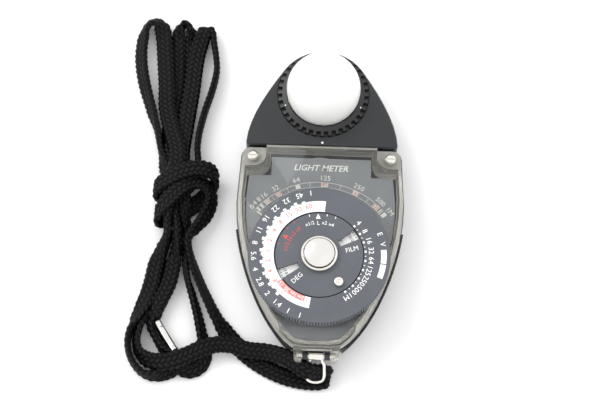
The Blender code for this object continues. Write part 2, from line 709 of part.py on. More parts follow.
def coil_spring(name, radius, wire, low, high, turns, material, parent, at=(0, 0, 0)):
    steps = int(turns * 10)
    points = []
    for i in range(steps + 1):
        angle = 2 * math.pi * turns * i / steps
        height = low + wire + (high - low - 2 * wire) * i / steps
        points.append((radius * math.cos(angle), radius * math.sin(angle), height))
    return piece(name, tube_mesh(points, wire, resolution=0), material, parent, at)


def button_spring(parent):
    low = BEZEL_FOOT + 0.4 + 0.1
    high = BEZEL_FOOT + 0.4 + BUTTON_TRAVEL + GAP - 0.05
    return coil_spring("button_spring", 4.0, 0.2, low, high, 2.5, "steel", parent)


# ---- movement ----

def magnet(parent):
    bore = MAGNET_RADIUS - MAGNET_WALL
    washer("magnet_ring", bore, MAGNET_RADIUS, MAGNET_FOOT, MAGNET_TOP, "steel", parent, steps=32)
    low, high = COIL_FOOT + COIL_THICKNESS + GAP + 0.1, COIL_TOP - COIL_THICKNESS - GAP - 0.1
    core = piece("pole_core", cylinder(CORE_RADIUS, low, high, sides=32), "steel", parent)
    middle = (low + high) / 2
    far = bore - 0.15
    join(core, block((-1.2, -far, middle - 0.9), (1.2, far, middle + 0.9)))


def bridges(parent):
    reach = MAGNET_RADIUS + 3.4
    half = [(reach, -2.6), *arc((reach, 0), 2.6, -90, 90, 8)[1:], (4, 3.4)]
    outline = [*half, (-4, 3.4), *[(-x, -y) for x, y in half[1:-1]], (-reach, -2.6), (-4, -3.4), (4, -3.4)]
    lower = piece("lower_bridge", prism(outline, LOWER_BRIDGE_FOOT, LOWER_BRIDGE_TOP), "aluminium", parent)
    cut(lower, cylinder(JEWEL_RADIUS + 0.1, 0, LOWER_BRIDGE_TOP + 1, sides=20))
    for at in movement_screw_places():
        cut(lower, cylinder(1.1, 0, LOWER_BRIDGE_TOP + 1, at, 16))
    end = -(MAGNET_RADIUS - MAGNET_WALL / 2)
    arm = [(-2.2, end - 2.2), (2.2, end - 2.2), (1.9, 0), *arc((0, 0), 1.9, 0, 180, 8)[1:-1], (-1.9, 0)]
    upper = piece("upper_bridge", prism(arm, UPPER_BRIDGE_FOOT, UPPER_BRIDGE_TOP), "aluminium", parent)
    cut(upper, cylinder(JEWEL_RADIUS + 0.1, 0, UPPER_BRIDGE_TOP + 1, sides=20))
    join(upper, cylinder(1.8, MAGNET_TOP + 0.15, UPPER_BRIDGE_FOOT + 0.5, (0, end), 20))


def jewel_screws(parent):
    for name, low, high in (("jewel_screw_lower", LEVER_FOOT, LOWER_BRIDGE_TOP + 0.2),
                            ("jewel_screw_upper", UPPER_BRIDGE_FOOT - 0.1, UPPER_BRIDGE_TOP + 0.25)):
        profile = [(0, high), (JEWEL_RADIUS, high), (JEWEL_RADIUS, low), (0, low)]
        turned(name, profile, "brass", parent, steps=20, closed=False)


def movement_screws(parent):
    head = LOWER_BRIDGE_TOP + 0.15
    for name, at in zip(("movement_screw_left", "movement_screw_right"), movement_screw_places()):
        profile = [(0, head + 1.1), (1.6, head + 1.1), (1.8, head + 0.9), (1.8, head), (0.9, head),
                   (0.9, LOWER_BRIDGE_FOOT - GAP + 0.1), (0, LOWER_BRIDGE_FOOT - GAP + 0.1)]
        screw = turned(name, profile, "steel", parent, (*at, 0), 16, closed=False)
        cut(screw, block((-3, -0.2, head + 0.6), (3, 0.2, head + 2)))


def flat_spiral(name, inner, outer, height, turns, material, parent):
    steps = int(turns * 14)
    points = []
    for i in range(steps + 1):
        angle = 2 * math.pi * turns * i / steps
        radius = inner + (outer - inner) * i / steps
        points.append((radius * math.cos(angle), radius * math.sin(angle), height))
    return piece(name, tube_mesh(points, 0.12, resolution=0), material, parent)


def hairsprings(parent):
    flat_spiral("hairspring_lower", 1.0, 3.6, (LOWER_BRIDGE_TOP + COIL_FOOT) / 2 + 0.1, 3, "brass", parent)
    flat_spiral("hairspring_upper", 1.0, 3.6, (COIL_TOP + BOSS_FOOT) / 2, 3, "brass", parent)


def moving_coil(parent):
    """A copper-wound frame about the core, in the plane across the needle."""
    out, wide = CORE_RADIUS + 0.5 + COIL_THICKNESS, COIL_WIDTH / 2
    coil = piece("moving_coil", block((-wide, -out, COIL_FOOT), (wide, out, COIL_TOP)), "copper_wire", parent)
    inner = out - COIL_THICKNESS
    foot, top = COIL_FOOT + COIL_THICKNESS, COIL_TOP - COIL_THICKNESS
    cut(coil, block((-wide - 1, -inner, foot), (wide + 1, inner, top)))
    low = [(0, COIL_FOOT - 0.15), (STAFF_RADIUS, COIL_FOOT - 0.15), (STAFF_RADIUS, LOWER_BRIDGE_TOP + 0.8),
           (0.0, LOWER_BRIDGE_TOP + 0.35)]
    turned("staff_lower", low, "steel", parent, steps=12, closed=False)
    top = UPPER_BRIDGE_FOOT - 0.25
    high = [(0, top), (STAFF_RADIUS, top - 0.5), (STAFF_RADIUS, COIL_TOP + 0.15), (0, COIL_TOP + 0.15)]
    turned("staff_upper", high, "steel", parent, steps=12, closed=False)


def needle(parent):
    """A pointer on a boss: low beside the staff, cranked up through the plate's opening, then level."""
    ring_in = STAFF_RADIUS + 0.15
    boss = piece("needle", cylinder(1.6, BOSS_FOOT, BOSS_FOOT + 0.5, sides=20), "needle_white", parent)
    rise = PLATE_OPENING_RADIUS - 3.2
    thick = 0.35
    low, high = BOSS_FOOT + 0.08, NEEDLE_FOOT
    side_view = [(1.0, low), (rise, low), (rise + 1.6, high), (NEEDLE_REACH, high),
                 (NEEDLE_REACH, high + thick), (rise + 1.3, high + thick), (rise - 0.3, low + thick),
                 (1.0, low + thick)]
    arm = prism(side_view, -NEEDLE_WIDTH / 2, NEEDLE_WIDTH / 2)
    bmesh.ops.transform(arm, verts=arm.verts, matrix=Matrix.Rotation(math.radians(90), 4, "X"))
    join(boss, arm, block((-5.5, -0.5, low), (-1.0, 0.5, low + thick)))
    cut(boss, cylinder(ring_in, BOSS_FOOT - 1, BOSS_FOOT + 1.5, sides=12))
    join(boss, cylinder(0.9, low + 0.1, low + thick + 0.5, (-4.6, 0), 16))


def brake_lever(parent, pivot):
    """The leaf under the plunger that frees the needle, hinged across its lower end."""
    low = PLUNGER_FOOT - GAP - LEVER_THICKNESS - pivot[2]
    leaf = block((-1.6, -1.0, low), (1.6, 2.0 - pivot[1], low + LEVER_THICKNESS))
    lever = piece("brake_lever", leaf, "steel", parent)
    join(lever, along_x(cylinder(0.8, -2.6, 2.6, sides=16), 0, 0))
    cut(lever, along_x(cylinder(0.45, -4, 4, sides=12), 0, 0))


def brake_bracket(parent, pivot):
    """A U-shaped bracket on the upper bridge, with the rod that the lever turns on."""
    foot = UPPER_BRIDGE_TOP + 0.15
    near, far = 3.2, 4.2
    rod = along_x(cylinder(0.35, -far, far, sides=12), pivot[1], pivot[2])
    bracket = piece("brake_bracket", rod, "steel", parent)
    join(bracket, block((-far, pivot[1] - 1, foot), (far, pivot[1] + 1, foot + 0.5)))
    for side in (-1, 1):
        low_x, high_x = sorted((side * near, side * far))
        join(bracket, block((low_x, pivot[1] - 1, foot), (high_x, pivot[1] + 1, pivot[2] + 0.8)))


def zero_adjuster(screw_parent, lever_parent):
    top, foot = CASE_FLOOR - 0.1, 0.3
    profile = [(0, top), (ZERO_SCREW_RADIUS, top), (ZERO_SCREW_RADIUS, foot), (0, foot)]
    screw = turned("zero_screw", profile, "brass", screw_parent, steps=24, closed=False)
    join(screw, cylinder(0.4, CASE_FLOOR - 0.5, LEVER_FOOT + LEVER_THICKNESS + 0.1, (0, ZERO_PIN_OFFSET), 12))
    cut(screw, block((-3, -0.25, -1), (3, 0.25, 0.8)))
    arm_end = -(ZERO_ARM - ZERO_PIN_OFFSET) - 1.2
    ring = cylinder(JEWEL_RADIUS + 1.6, LEVER_FOOT, LEVER_FOOT + LEVER_THICKNESS, sides=24)
    lever = piece("zero_lever", ring, "brass", lever_parent)
    join(lever, block((-1.5, arm_end, LEVER_FOOT), (1.5, -1.8, LEVER_FOOT + LEVER_THICKNESS)))
    cut(lever, cylinder(JEWEL_RADIUS + 0.15, 0, 9, sides=20))
    cut(lever, block((-0.7, arm_end - 1, 0), (0.7, arm_end + 2.6, 9)))


def resistor(parent):
    body = along_x(cylinder(1.5, -4.5, 4.5, sides=16), BODY_FOOT + 12.6, CASE_FLOOR + 4.5)
    piece("calibration_resistor", body, "resistor_tan", parent)


def movement_leads(parent):
    start_y = BODY_TOP - TUBE_INSIDE - 3.2
    knots = [(0, start_y, SWIVEL_HEIGHT), (4, start_y - 5, SWIVEL_HEIGHT - 2), (8, MAGNET_RADIUS + 5, 5.5),
             (12, MAGNET_RADIUS + 0.5, 5.0), (15.5, MAGNET_RADIUS - 5, 5.2)]
    piece("movement_lead", tube_mesh(smooth_curve(knots, 2.0), 2 * LEAD_RADIUS), "lead_red", parent)


# ---- head ----

def swivel(root, head):
    inner = TUBE_RADIUS + GAP
    high = BODY_TOP - 0.1
    low = BODY_TOP - CASE_WALL - 0.1
    made = along_y(cylinder(inner + 0.8, low, high, sides=32), SWIVEL_HEIGHT)
    bush = piece("swivel_bush", made, "brass", root)
    cut(bush, along_y(cylinder(inner - 0.1, low - 1, high + 1), SWIVEL_HEIGHT))
    start, stop = BODY_TOP - TUBE_INSIDE, HEAD_FOOT + HEAD_WALL + 3
    tube = piece("swivel_tube", along_y(cylinder(TUBE_RADIUS, start, stop), 0), "steel", head)
    cut(tube, along_y(cylinder(TUBE_RADIUS - TUBE_WALL, start - 1, stop + 1, sides=24), 0))
    groove = piece("groove", along_y(cylinder(TUBE_RADIUS + 1, start + 1, start + 2), 0), "steel", head)
    cut(groove, along_y(cylinder(TUBE_RADIUS - 0.5, start, start + 3), 0))
    cut_with_piece(tube, groove, "groove")
    clip_y = start + 1.5
    clip_ring = along_y(cylinder(TUBE_RADIUS + 1.4, clip_y - 0.25, clip_y + 0.25), 0)
    clip = piece("swivel_clip", clip_ring, "steel", head)
    cut(clip, along_y(cylinder(TUBE_RADIUS - 0.3, clip_y - 2, clip_y + 2, sides=24), 0),
        block((-1.2, clip_y - 2, -9), (1.2, clip_y + 2, 0)))
    washer_ring = along_y(cylinder(TUBE_RADIUS + 1.6, clip_y + 0.55, clip_y + 1.15), 0)
    wash = piece("swivel_washer", washer_ring, "steel", head)
    cut(wash, along_y(cylinder(TUBE_RADIUS + 0.2, clip_y - 1, clip_y + 4, sides=24), 0))


def head_section(inset, lift):
    """The head's outline, with Y counted from the swivel's axis frame."""
    return (lift - SWIVEL_HEIGHT, head_outline(inset))


def head_shells(parent):
    split = SWIVEL_HEIGHT
    back, face = HEAD_BACK, HEAD_FACE
    rear = piece("head_rear_shell", loft([head_section(2.2, back), head_section(0.9, back + 0.9),
                                          head_section(0.1, split - 0.15)]), "black_plastic", parent)
    cut(rear, loft([head_section(0.9 + HEAD_WALL, back + HEAD_WALL), head_section(HEAD_WALL, split + 1)]))
    front = piece("head_front_shell", loft([head_section(0, split + 0.15), head_section(0, face - 0.5),
                                            head_section(0.5, face)]), "black_plastic", parent)
    cut(front, loft([head_section(HEAD_WALL, split - 1), head_section(HEAD_WALL, face - HEAD_WALL)]))
    deck = face - SWIVEL_HEIGHT
    seat = cylinder(DOME_RING_RADIUS + GAP, deck - 0.9, deck + 1, (0, DOME_Y), 48)
    well = cylinder(DOME_RADIUS + 0.9, deck - 5, deck + 1, (0, DOME_Y), 48)
    cut(front, seat, well)
    bore = along_y(cylinder(TUBE_RADIUS + 0.15, HEAD_FOOT - 1, HEAD_FOOT + HEAD_WALL + 4), 0)
    cut(front, bore)
    cut(rear, along_y(cylinder(TUBE_RADIUS + 0.15, HEAD_FOOT - 1, HEAD_FOOT + HEAD_WALL + 4), 0))
    for side in (-1, 1):
        at = head_screw_place(side)
        join(front, cylinder(2.2, 0.3, deck - HEAD_WALL + 0.5, at, 20))
        cut(front, cylinder(0.9, -0.5, deck - HEAD_WALL - 0.6, at, 12))
        join(rear, cylinder(2.2, back - SWIVEL_HEIGHT + HEAD_WALL - 0.4, -0.15, at, 20))
        cut(rear, cylinder(1.2, back - SWIVEL_HEIGHT - 1, 1, at, 12))
        cut(rear, cylinder(2.0 + GAP, back - SWIVEL_HEIGHT - 1, back - SWIVEL_HEIGHT + 1.3, at, 20))


def head_screw_place(side):
    return (side * (HEAD_HALF_WIDTH - 6.2), HEAD_FOOT + 5.6)


def head_screws(parent):
    low = HEAD_BACK - SWIVEL_HEIGHT
    for name, side in (("head_screw_left", -1), ("head_screw_right", 1)):
        foot, neck = low + 0.3, low + 1.15
        profile = [(0, 4.0), (0.75, 4.0), (0.75, neck), (2.0, neck), (2.0, foot), (0, foot)]
        screw = turned(name, profile, "steel", parent, (*head_screw_place(side), 0), 16, closed=False)
        cut(screw, block((-3, -0.25, low - 1), (3, 0.25, low + 0.7)))


def photocell(parent):
    deck = HEAD_FACE - SWIVEL_HEIGHT
    top = deck - HEAD_WALL - 0.5
    at = (0, DOME_Y, 0)
    outer = DOME_RADIUS + 0.6
    washer("contact_ring", outer - 1.6, outer, top - 0.4, top, "brass", parent, at, 32)
    cell_top = top - 0.4 - 0.15
    piece("photocell", cylinder(outer, cell_top - CELL_THICKNESS, cell_top, sides=32), "selenium", parent, at)
    back = cell_top - CELL_THICKNESS - 0.15
    contact = piece("rear_contact", block((-6, -1.2, back - 0.5), (6, 1.2, back)), "brass", parent, at)
    join(contact, block((-1.2, -9, back - 0.5), (1.2, 0.5, back)))


def head_leads(parent):
    deck = HEAD_FACE - SWIVEL_HEIGHT
    cell_back = deck - HEAD_WALL - 0.5 - 0.4 - 0.15 - CELL_THICKNESS
    start = BODY_TOP - TUBE_INSIDE - 2.6
    knots = [(0, start, 0), (0, HEAD_FOOT, 0), (0, HEAD_FOOT + 6.5, -0.3),
             (1.5, DOME_Y - 9.6, cell_back - 2.2)]
    piece("cell_lead", tube_mesh(smooth_curve(knots, 2.4), 2 * LEAD_RADIUS), "lead_black", parent)


def dome_ring(parent):
    """The bayonet ring that holds the diffuser, notched for grip on its outer half."""
    foot = HEAD_FACE - 0.9 + GAP
    top = foot + DOME_RING_HEIGHT
    outer = DOME_RING_RADIUS
    inner = dome_radius_at(top - DOME_CENTRE) + GAP
    grip = DOME_RADIUS + 1.9
    skirt = DOME_RADIUS + 0.6
    profile = [(grip, top - 0.5), (outer - 0.3, top - 1.0), (outer, top - 1.3), (outer, foot),
               (skirt, foot), (skirt, foot - 0.9), (inner - 0.2, foot - 0.9), (inner - 0.2, foot + 0.3),
               (inner, top + 0.1)]
    ring = turned("dome_ring", profile, "black_plastic", parent, (0, DOME_Y, 0), 36)
    for i in range(36):
        angle = 2 * math.pi * (i + 0.5) / 36
        run = Vector((math.cos(angle), math.sin(angle)))
        across = Vector((-run.y, run.x)) * 0.55
        corners = [run * (grip + 0.25) - across, run * (outer + 1) - across, run * (outer + 1) + across,
                   run * (grip + 0.25) + across]
        cut(ring, prism([tuple(corner) for corner in corners], foot + 0.5, top + 1))
    return ring


def dome_radius_at(height):
    return math.sqrt(max(DOME_RADIUS ** 2 - height ** 2, 0))


def diffuser_dome(parent):
    """More than half a hollow sphere, open below, with a short rim that the ring holds."""
    rim = HEAD_FACE - 0.6 + GAP - DOME_CENTRE
    outer = sphere_profile(DOME_RADIUS, rim)
    inner = sphere_profile(DOME_RADIUS - DOME_WALL, rim)
    profile = [*outer, *reversed(inner)]
    turned("diffuser_dome", profile, "diffuser_white", parent, (0, DOME_Y, 0), 32, closed=False)


def sphere_profile(radius, rim, count=9):
    """Points from the top of the dome's sphere down to its rim."""
    lowest = math.acos(max(rim / radius, -1))
    return [(radius * math.sin(lowest * i / count), DOME_CENTRE + radius * math.cos(lowest * i / count))
            for i in range(count + 1)]


# ---- neck cord ----

def hank_solid(name, knots, parent):
    return piece(name, prism(round_outline(knots, 4.0), HANK_FOOT, HANK_HEIGHT), "cord_black", parent)


def cord_hanks(parent):
    """The folded halves of the cord: above the knot, and from the knot to the lower turns."""
    upper = [(-62, 93.5), (-66.8, 84), (-65.5, 70), (-61, 54), (-57.5, 43), (-50, 41.6), (-43.5, 43),
             (-41.6, 58), (-38.4, 74), (-39.5, 84), (-43, 92.5), (-52, 95)]
    hank_solid("cord_hank_upper", upper, parent)
    lower = [(-54, 11.4), (-58.5, 0), (-63.5, -14), (-65.4, -26), (-61.5, -36), (-53, -38.2), (-43, -37.6),
             (-35, -32.5), (-26, -31), (-24.5, -26.5), (-31.5, -19), (-38, -7), (-43, 5), (-46.5, 10.8)]
    bundle = hank_solid("cord_hank_lower", lower, parent)
    size = Vector(FERRULE_SIZE)
    pocket = block(-size / 2 - Vector((GAP, GAP, GAP)), size / 2 + Vector((GAP, GAP, HANK_HEIGHT)))
    turn = Matrix.Translation(FERRULE_CENTRE) @ Matrix.Rotation(FERRULE_TURN, 4, "Z")
    bmesh.ops.transform(pocket, matrix=turn, verts=pocket.verts)
    cut(bundle, pocket)


def cord_knot(parent):
    knot = bmesh.new()
    place = Matrix.Translation((*KNOT_CENTRE, KNOT_HALF[2] + HANK_FOOT)) @ Matrix.Diagonal((*KNOT_HALF, 1))
    bmesh.ops.create_uvsphere(knot, u_segments=20, v_segments=12, radius=1, matrix=place)
    piece("cord_knot", knot, "cord_black", parent)


def cord_ferrule(parent):
    """The crimped metal sleeve that joins the cord's two ends."""
    half = Vector(FERRULE_SIZE) / 2
    turn = (0, 0, FERRULE_TURN)
    ferrule = piece("cord_ferrule", block(-half, half), "bright_metal", parent, FERRULE_CENTRE, turn)
    bevel = ferrule.modifiers.new("rounded", "BEVEL")
    bevel.width = 0.9 * MM
    bevel.segments = 2


def cord_runs(parent, ring_parent, ring_at):
    """The two stretches to the strap ring and the bight through it. Where they meet, both lie
    along the ring's axis, so that their end faces turn past each other as the ring swings."""
    over = [(-23.6, -28.6, 3.6), (-17, -30.6, 3.8), (-12, -32.9, 5.4), (-8.9, -34.6, 8.0),
            (-6.7, -34.6, 8.4)]
    under = [(-24.4, -30.6, 1.25), (-17, -33.4, 1.2), (-12, -36.4, 1.2), (-8.8, -38.6, 1.2),
             (-6.7, -38.7, 1.2)]
    bight = [(-6.3, -34.7, 8.5), (-4.9, -35.2, 9.2), (-3.4, -35.7, 10.5), (-0.6, -36.0, 8.6),
             (1.4, -36.2, 5.8), (3.4, -36.8, 3.4), (5.0, -38.2, 2.0), (4.6, -39.8, 1.3), (2.4, -40.5, 1.1),
             (-0.6, -40.2, 1.1), (-3.4, -39.4, 1.1), (-6.3, -38.8, 1.1)]
    for name, points in (("cord_run_upper", over), ("cord_run_lower", under)):
        piece(name, tube_mesh(smooth_curve(points, 3.0), CORD_TUBE_RADIUS), "cord_black", parent)
    local = [tuple(Vector(point) - Vector(ring_at)) for point in bight]
    tube = tube_mesh(smooth_curve(local, 2.2), CORD_TUBE_RADIUS - BIGHT_THINNER)
    piece("cord_bight", tube, "cord_black", ring_parent)


# ---- assembly ----

def build():
    root = make_empty("meter_frame", (0, FRAME_Y, 0))
    dial = make_empty("dial_axis", (0, 0, 0), root)
    speed = make_empty("speed_axis", (0, 0, 0), dial)
    press = make_empty("button_axis", (0, 0, 0), root)
    pointer = make_empty("needle_axis", (0, 0, 0), root)
    pointer.rotation_euler = (0, 0, NEEDLE_REST)
    zero_screw = make_empty("zero_screw_axis", (0, -ZERO_ARM, 0), root)
    zero_lever = make_empty("zero_lever_axis", (0, 0, 0), root)
    brake_at = (0, -BRAKE_ARM, PLUNGER_FOOT - GAP - LEVER_THICKNESS - 0.4)
    brake = make_empty("brake_axis", brake_at, root)
    head = make_empty("head_axis", (0, 0, SWIVEL_HEIGHT), root)
    dome = make_empty("dome_axis", (0, 0, -SWIVEL_HEIGHT), head)
    ring_at = (0, LUG_BAR_Y, LUG_BAR_HEIGHT)
    ring = make_empty("ring_axis", ring_at, root)

    rear_case(root)
    rear_plate(root)
    clear_cover(root)
    cover_screws(root)
    scale_plate(root)
    lug_fittings(root)
    strap_ring(ring)
    dial_ring(dial)
    speed_disc(speed)
    speed_pin(speed)
    dial_post(root)
    button_bezel(root)
    button(press)
    button_spring(root)
    magnet(root)
    bridges(root)
    jewel_screws(root)
    movement_screws(root)
    hairsprings(root)
    moving_coil(pointer)
    needle(pointer)
    brake_lever(brake, brake_at)
    brake_bracket(root, brake_at)
    zero_adjuster(zero_screw, zero_lever)
    resistor(root)
    movement_leads(root)
    swivel(root, head)
    head_shells(head)
    head_screws(head)
    photocell(head)
    head_leads(head)
    dome_ring(dome)
    diffuser_dome(dome)
    cord_hanks(root)
    cord_knot(root)
    cord_ferrule(root)
    cord_runs(root, ring, ring_at)


clear_scene()
PARTS = make_collection("handheld_light_meter")
CUTTERS = make_collection("cutters")
build()
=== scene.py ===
"""The looks of a handheld light meter: braided neck cord, clear cover, printed dial and white dome.

Shapes are worked out in millimetres, with X and Y counted from the dial's axis and Z from the
table. A finished piece's mesh is then turned to metres, in the frame's own place.
"""

import json
import math

import bmesh
import bpy
import numpy as np
from mathutils import Matrix, Quaternion, Vector
from mathutils.geometry import interpolate_bezier


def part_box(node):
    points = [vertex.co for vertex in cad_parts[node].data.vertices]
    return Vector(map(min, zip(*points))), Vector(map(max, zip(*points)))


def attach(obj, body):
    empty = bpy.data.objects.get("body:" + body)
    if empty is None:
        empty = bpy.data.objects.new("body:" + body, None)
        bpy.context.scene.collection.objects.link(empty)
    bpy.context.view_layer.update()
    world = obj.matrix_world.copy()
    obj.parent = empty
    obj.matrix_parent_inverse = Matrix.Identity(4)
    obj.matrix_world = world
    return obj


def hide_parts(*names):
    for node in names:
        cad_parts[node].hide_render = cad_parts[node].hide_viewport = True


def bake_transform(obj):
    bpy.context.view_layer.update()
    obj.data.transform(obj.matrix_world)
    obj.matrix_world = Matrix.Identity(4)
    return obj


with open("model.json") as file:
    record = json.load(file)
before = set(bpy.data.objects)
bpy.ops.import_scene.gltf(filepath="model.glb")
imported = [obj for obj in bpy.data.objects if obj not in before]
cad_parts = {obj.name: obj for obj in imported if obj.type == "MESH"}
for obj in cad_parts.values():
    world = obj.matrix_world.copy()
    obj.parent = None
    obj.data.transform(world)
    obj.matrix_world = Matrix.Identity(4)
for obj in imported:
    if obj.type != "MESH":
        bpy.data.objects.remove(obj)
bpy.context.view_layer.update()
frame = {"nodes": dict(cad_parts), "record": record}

MM = 0.001


def dial_axis():
    """Where the dial's axis meets the table, in the frame's metres."""
    low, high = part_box("button_bezel")
    return Vector(((low.x + high.x) / 2, (low.y + high.y) / 2, 0))


AXIS = dial_axis()
TO_FRAME = Matrix.Translation(AXIS) @ Matrix.Scale(MM, 4)


def corners(node):
    """A CAD node's lowest and highest corner, in millimetres from the dial's axis."""
    return tuple((corner - AXIS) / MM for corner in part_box(node))


# ---- camera, floor and light ----

CAMERA_TARGET = (-7.1, 20.2, 22)
CAMERA_DISTANCE = 658.7
CAMERA_ELEVATION, CAMERA_ROLL = 70, 1.8  # angles in degrees
LAMP_DISTANCE = 1400
LAMP_ELEVATION, LAMP_AZIMUTH = 44, 236
LAMP_SIZE = (1.0, 0.9)  # in metres, as Blender takes a lamp's size
LAMP_POWER = 8
SKY_STRENGTH = 1.22


def aim(holder, target, distance, elevation, azimuth=0.0, roll=0.0):
    """Points a camera or light at a target from a distance, with angles in degrees."""
    side, rise = math.radians(azimuth), math.radians(elevation)
    back = Vector((math.sin(side) * math.cos(rise), -math.cos(side) * math.cos(rise), math.sin(rise)))
    holder.location = TO_FRAME @ (Vector(target) + back * distance)
    holder.rotation_mode = "QUATERNION"
    level = (-back).to_track_quat("-Z", "Y")
    holder.rotation_quaternion = level @ Quaternion((0, 0, 1), math.radians(roll))


def camera():
    data = bpy.data.cameras.new("camera")
    data.lens = 115
    data.sensor_width = 36
    data.clip_start, data.clip_end = 0.05, 20
    holder = bpy.data.objects.new("camera", data)
    bpy.context.scene.collection.objects.link(holder)
    aim(holder, CAMERA_TARGET, CAMERA_DISTANCE, CAMERA_ELEVATION, roll=CAMERA_ROLL)
    bpy.context.scene.camera = holder


def soft_box():
    """The one lamp: big and soft, behind the meter and to its left."""
    data = bpy.data.lights.new("soft_box", "AREA")
    data.shape = "RECTANGLE"
    data.size, data.size_y = LAMP_SIZE
    data.energy = LAMP_POWER
    holder = bpy.data.objects.new("soft_box", data)
    bpy.context.scene.collection.objects.link(holder)
    aim(holder, (0, 0, 0), LAMP_DISTANCE, LAMP_ELEVATION, LAMP_AZIMUTH)


def studio():
    """A pale sweep under a bright even sky, with one soft box."""
    mesh = bmesh.new()
    bmesh.ops.create_grid(mesh, x_segments=2, y_segments=2, size=3)
    data = bpy.data.meshes.new("floor")
    mesh.to_mesh(data)
    mesh.free()
    data.materials.append(plain("pale_paper_sweep", "#fafafa", 0.9, Specular_IOR_Level=0.1))
    floor = bpy.data.objects.new("floor", data)
    bpy.context.scene.collection.objects.link(floor)
    soft_box()
    world = bpy.data.worlds.new("studio")
    bpy.context.scene.world = world
    world.use_nodes = True
    sky = world.node_tree.nodes["Background"]
    sky.inputs["Color"].default_value = (1, 1, 1, 1)
    sky.inputs["Strength"].default_value = SKY_STRENGTH
    bpy.context.scene.view_settings.view_transform = "Standard"


# ---- materials: starting points and tools ----

def srgb(code):
    """An sRGB hex colour as linear red, green, blue and alpha."""
    values = [int(code[i:i + 2], 16) / 255 for i in (1, 3, 5)]
    return (*(v / 12.92 if v <= 0.04045 else ((v + 0.055) / 1.055) ** 2.4 for v in values), 1)


def plain(name, colour, roughness, metallic=0.0, **sockets):
    """A new Principled material with these values on its shader's own sockets."""
    look = bpy.data.materials.new(name)
    look.use_nodes = True
    shader = look.node_tree.nodes["Principled BSDF"]
    shader.inputs["Base Color"].default_value = srgb(colour)
    shader.inputs["Roughness"].default_value = roughness
    shader.inputs["Metallic"].default_value = metallic
    for socket, value in sockets.items():
        shader.inputs[socket.replace("_", " ")].default_value = value
    return look


def add(look, kind, inputs=(), stops=(), **settings):
    """Adds a node to a material. Inputs take values or other nodes' outputs, and stops fill a ramp."""
    node = look.node_tree.nodes.new(kind)
    for name, value in settings.items():
        setattr(node, name, value)
    for name, value in dict(inputs).items():
        if isinstance(value, bpy.types.NodeSocket):
            look.node_tree.links.new(value, node.inputs[name])
        else:
            node.inputs[name].default_value = value
    for i, (place, colour) in enumerate(stops):
        stop = node.color_ramp.elements[i] if i < 2 else node.color_ramp.elements.new(place)
        stop.position = place
        stop.color = srgb(colour)
    return node


def feed(look, socket, output):
    """Links an output to a socket of the material's shader."""
    look.node_tree.links.new(output, look.node_tree.nodes["Principled BSDF"].inputs[socket])


# ---- the neck cord: a flat tubular braid ----

BRAID_WIDTH, BRAID_THICKNESS = 6.4, 2.4  # lying flat
BUNCHED_WIDTH, BUNCHED_THICKNESS = 4.6, 3.2  # squeezed among its neighbours
YARN_RISE = 0.62  # how far a yarn's crown stands above the hollows between yarns
YARNS_EACH_WAY = 8  # 16 carriers braid it, half of them each way
YARN_LAY = 2.0  # length along the cord from one yarn to the next
RING_STEP = 0.5  # between the rings of the cord's mesh
RING_SIDES = 32
CURVE_STEPS = 24  # from one point of the route to the next
TABLE_GAP = 0.02  # the table flattens what lies on it

UP, DOWN, LEFT, RIGHT = (0, 0, 1), (0, 0, -1), (-1, 0, 0), (1, 0, 0)

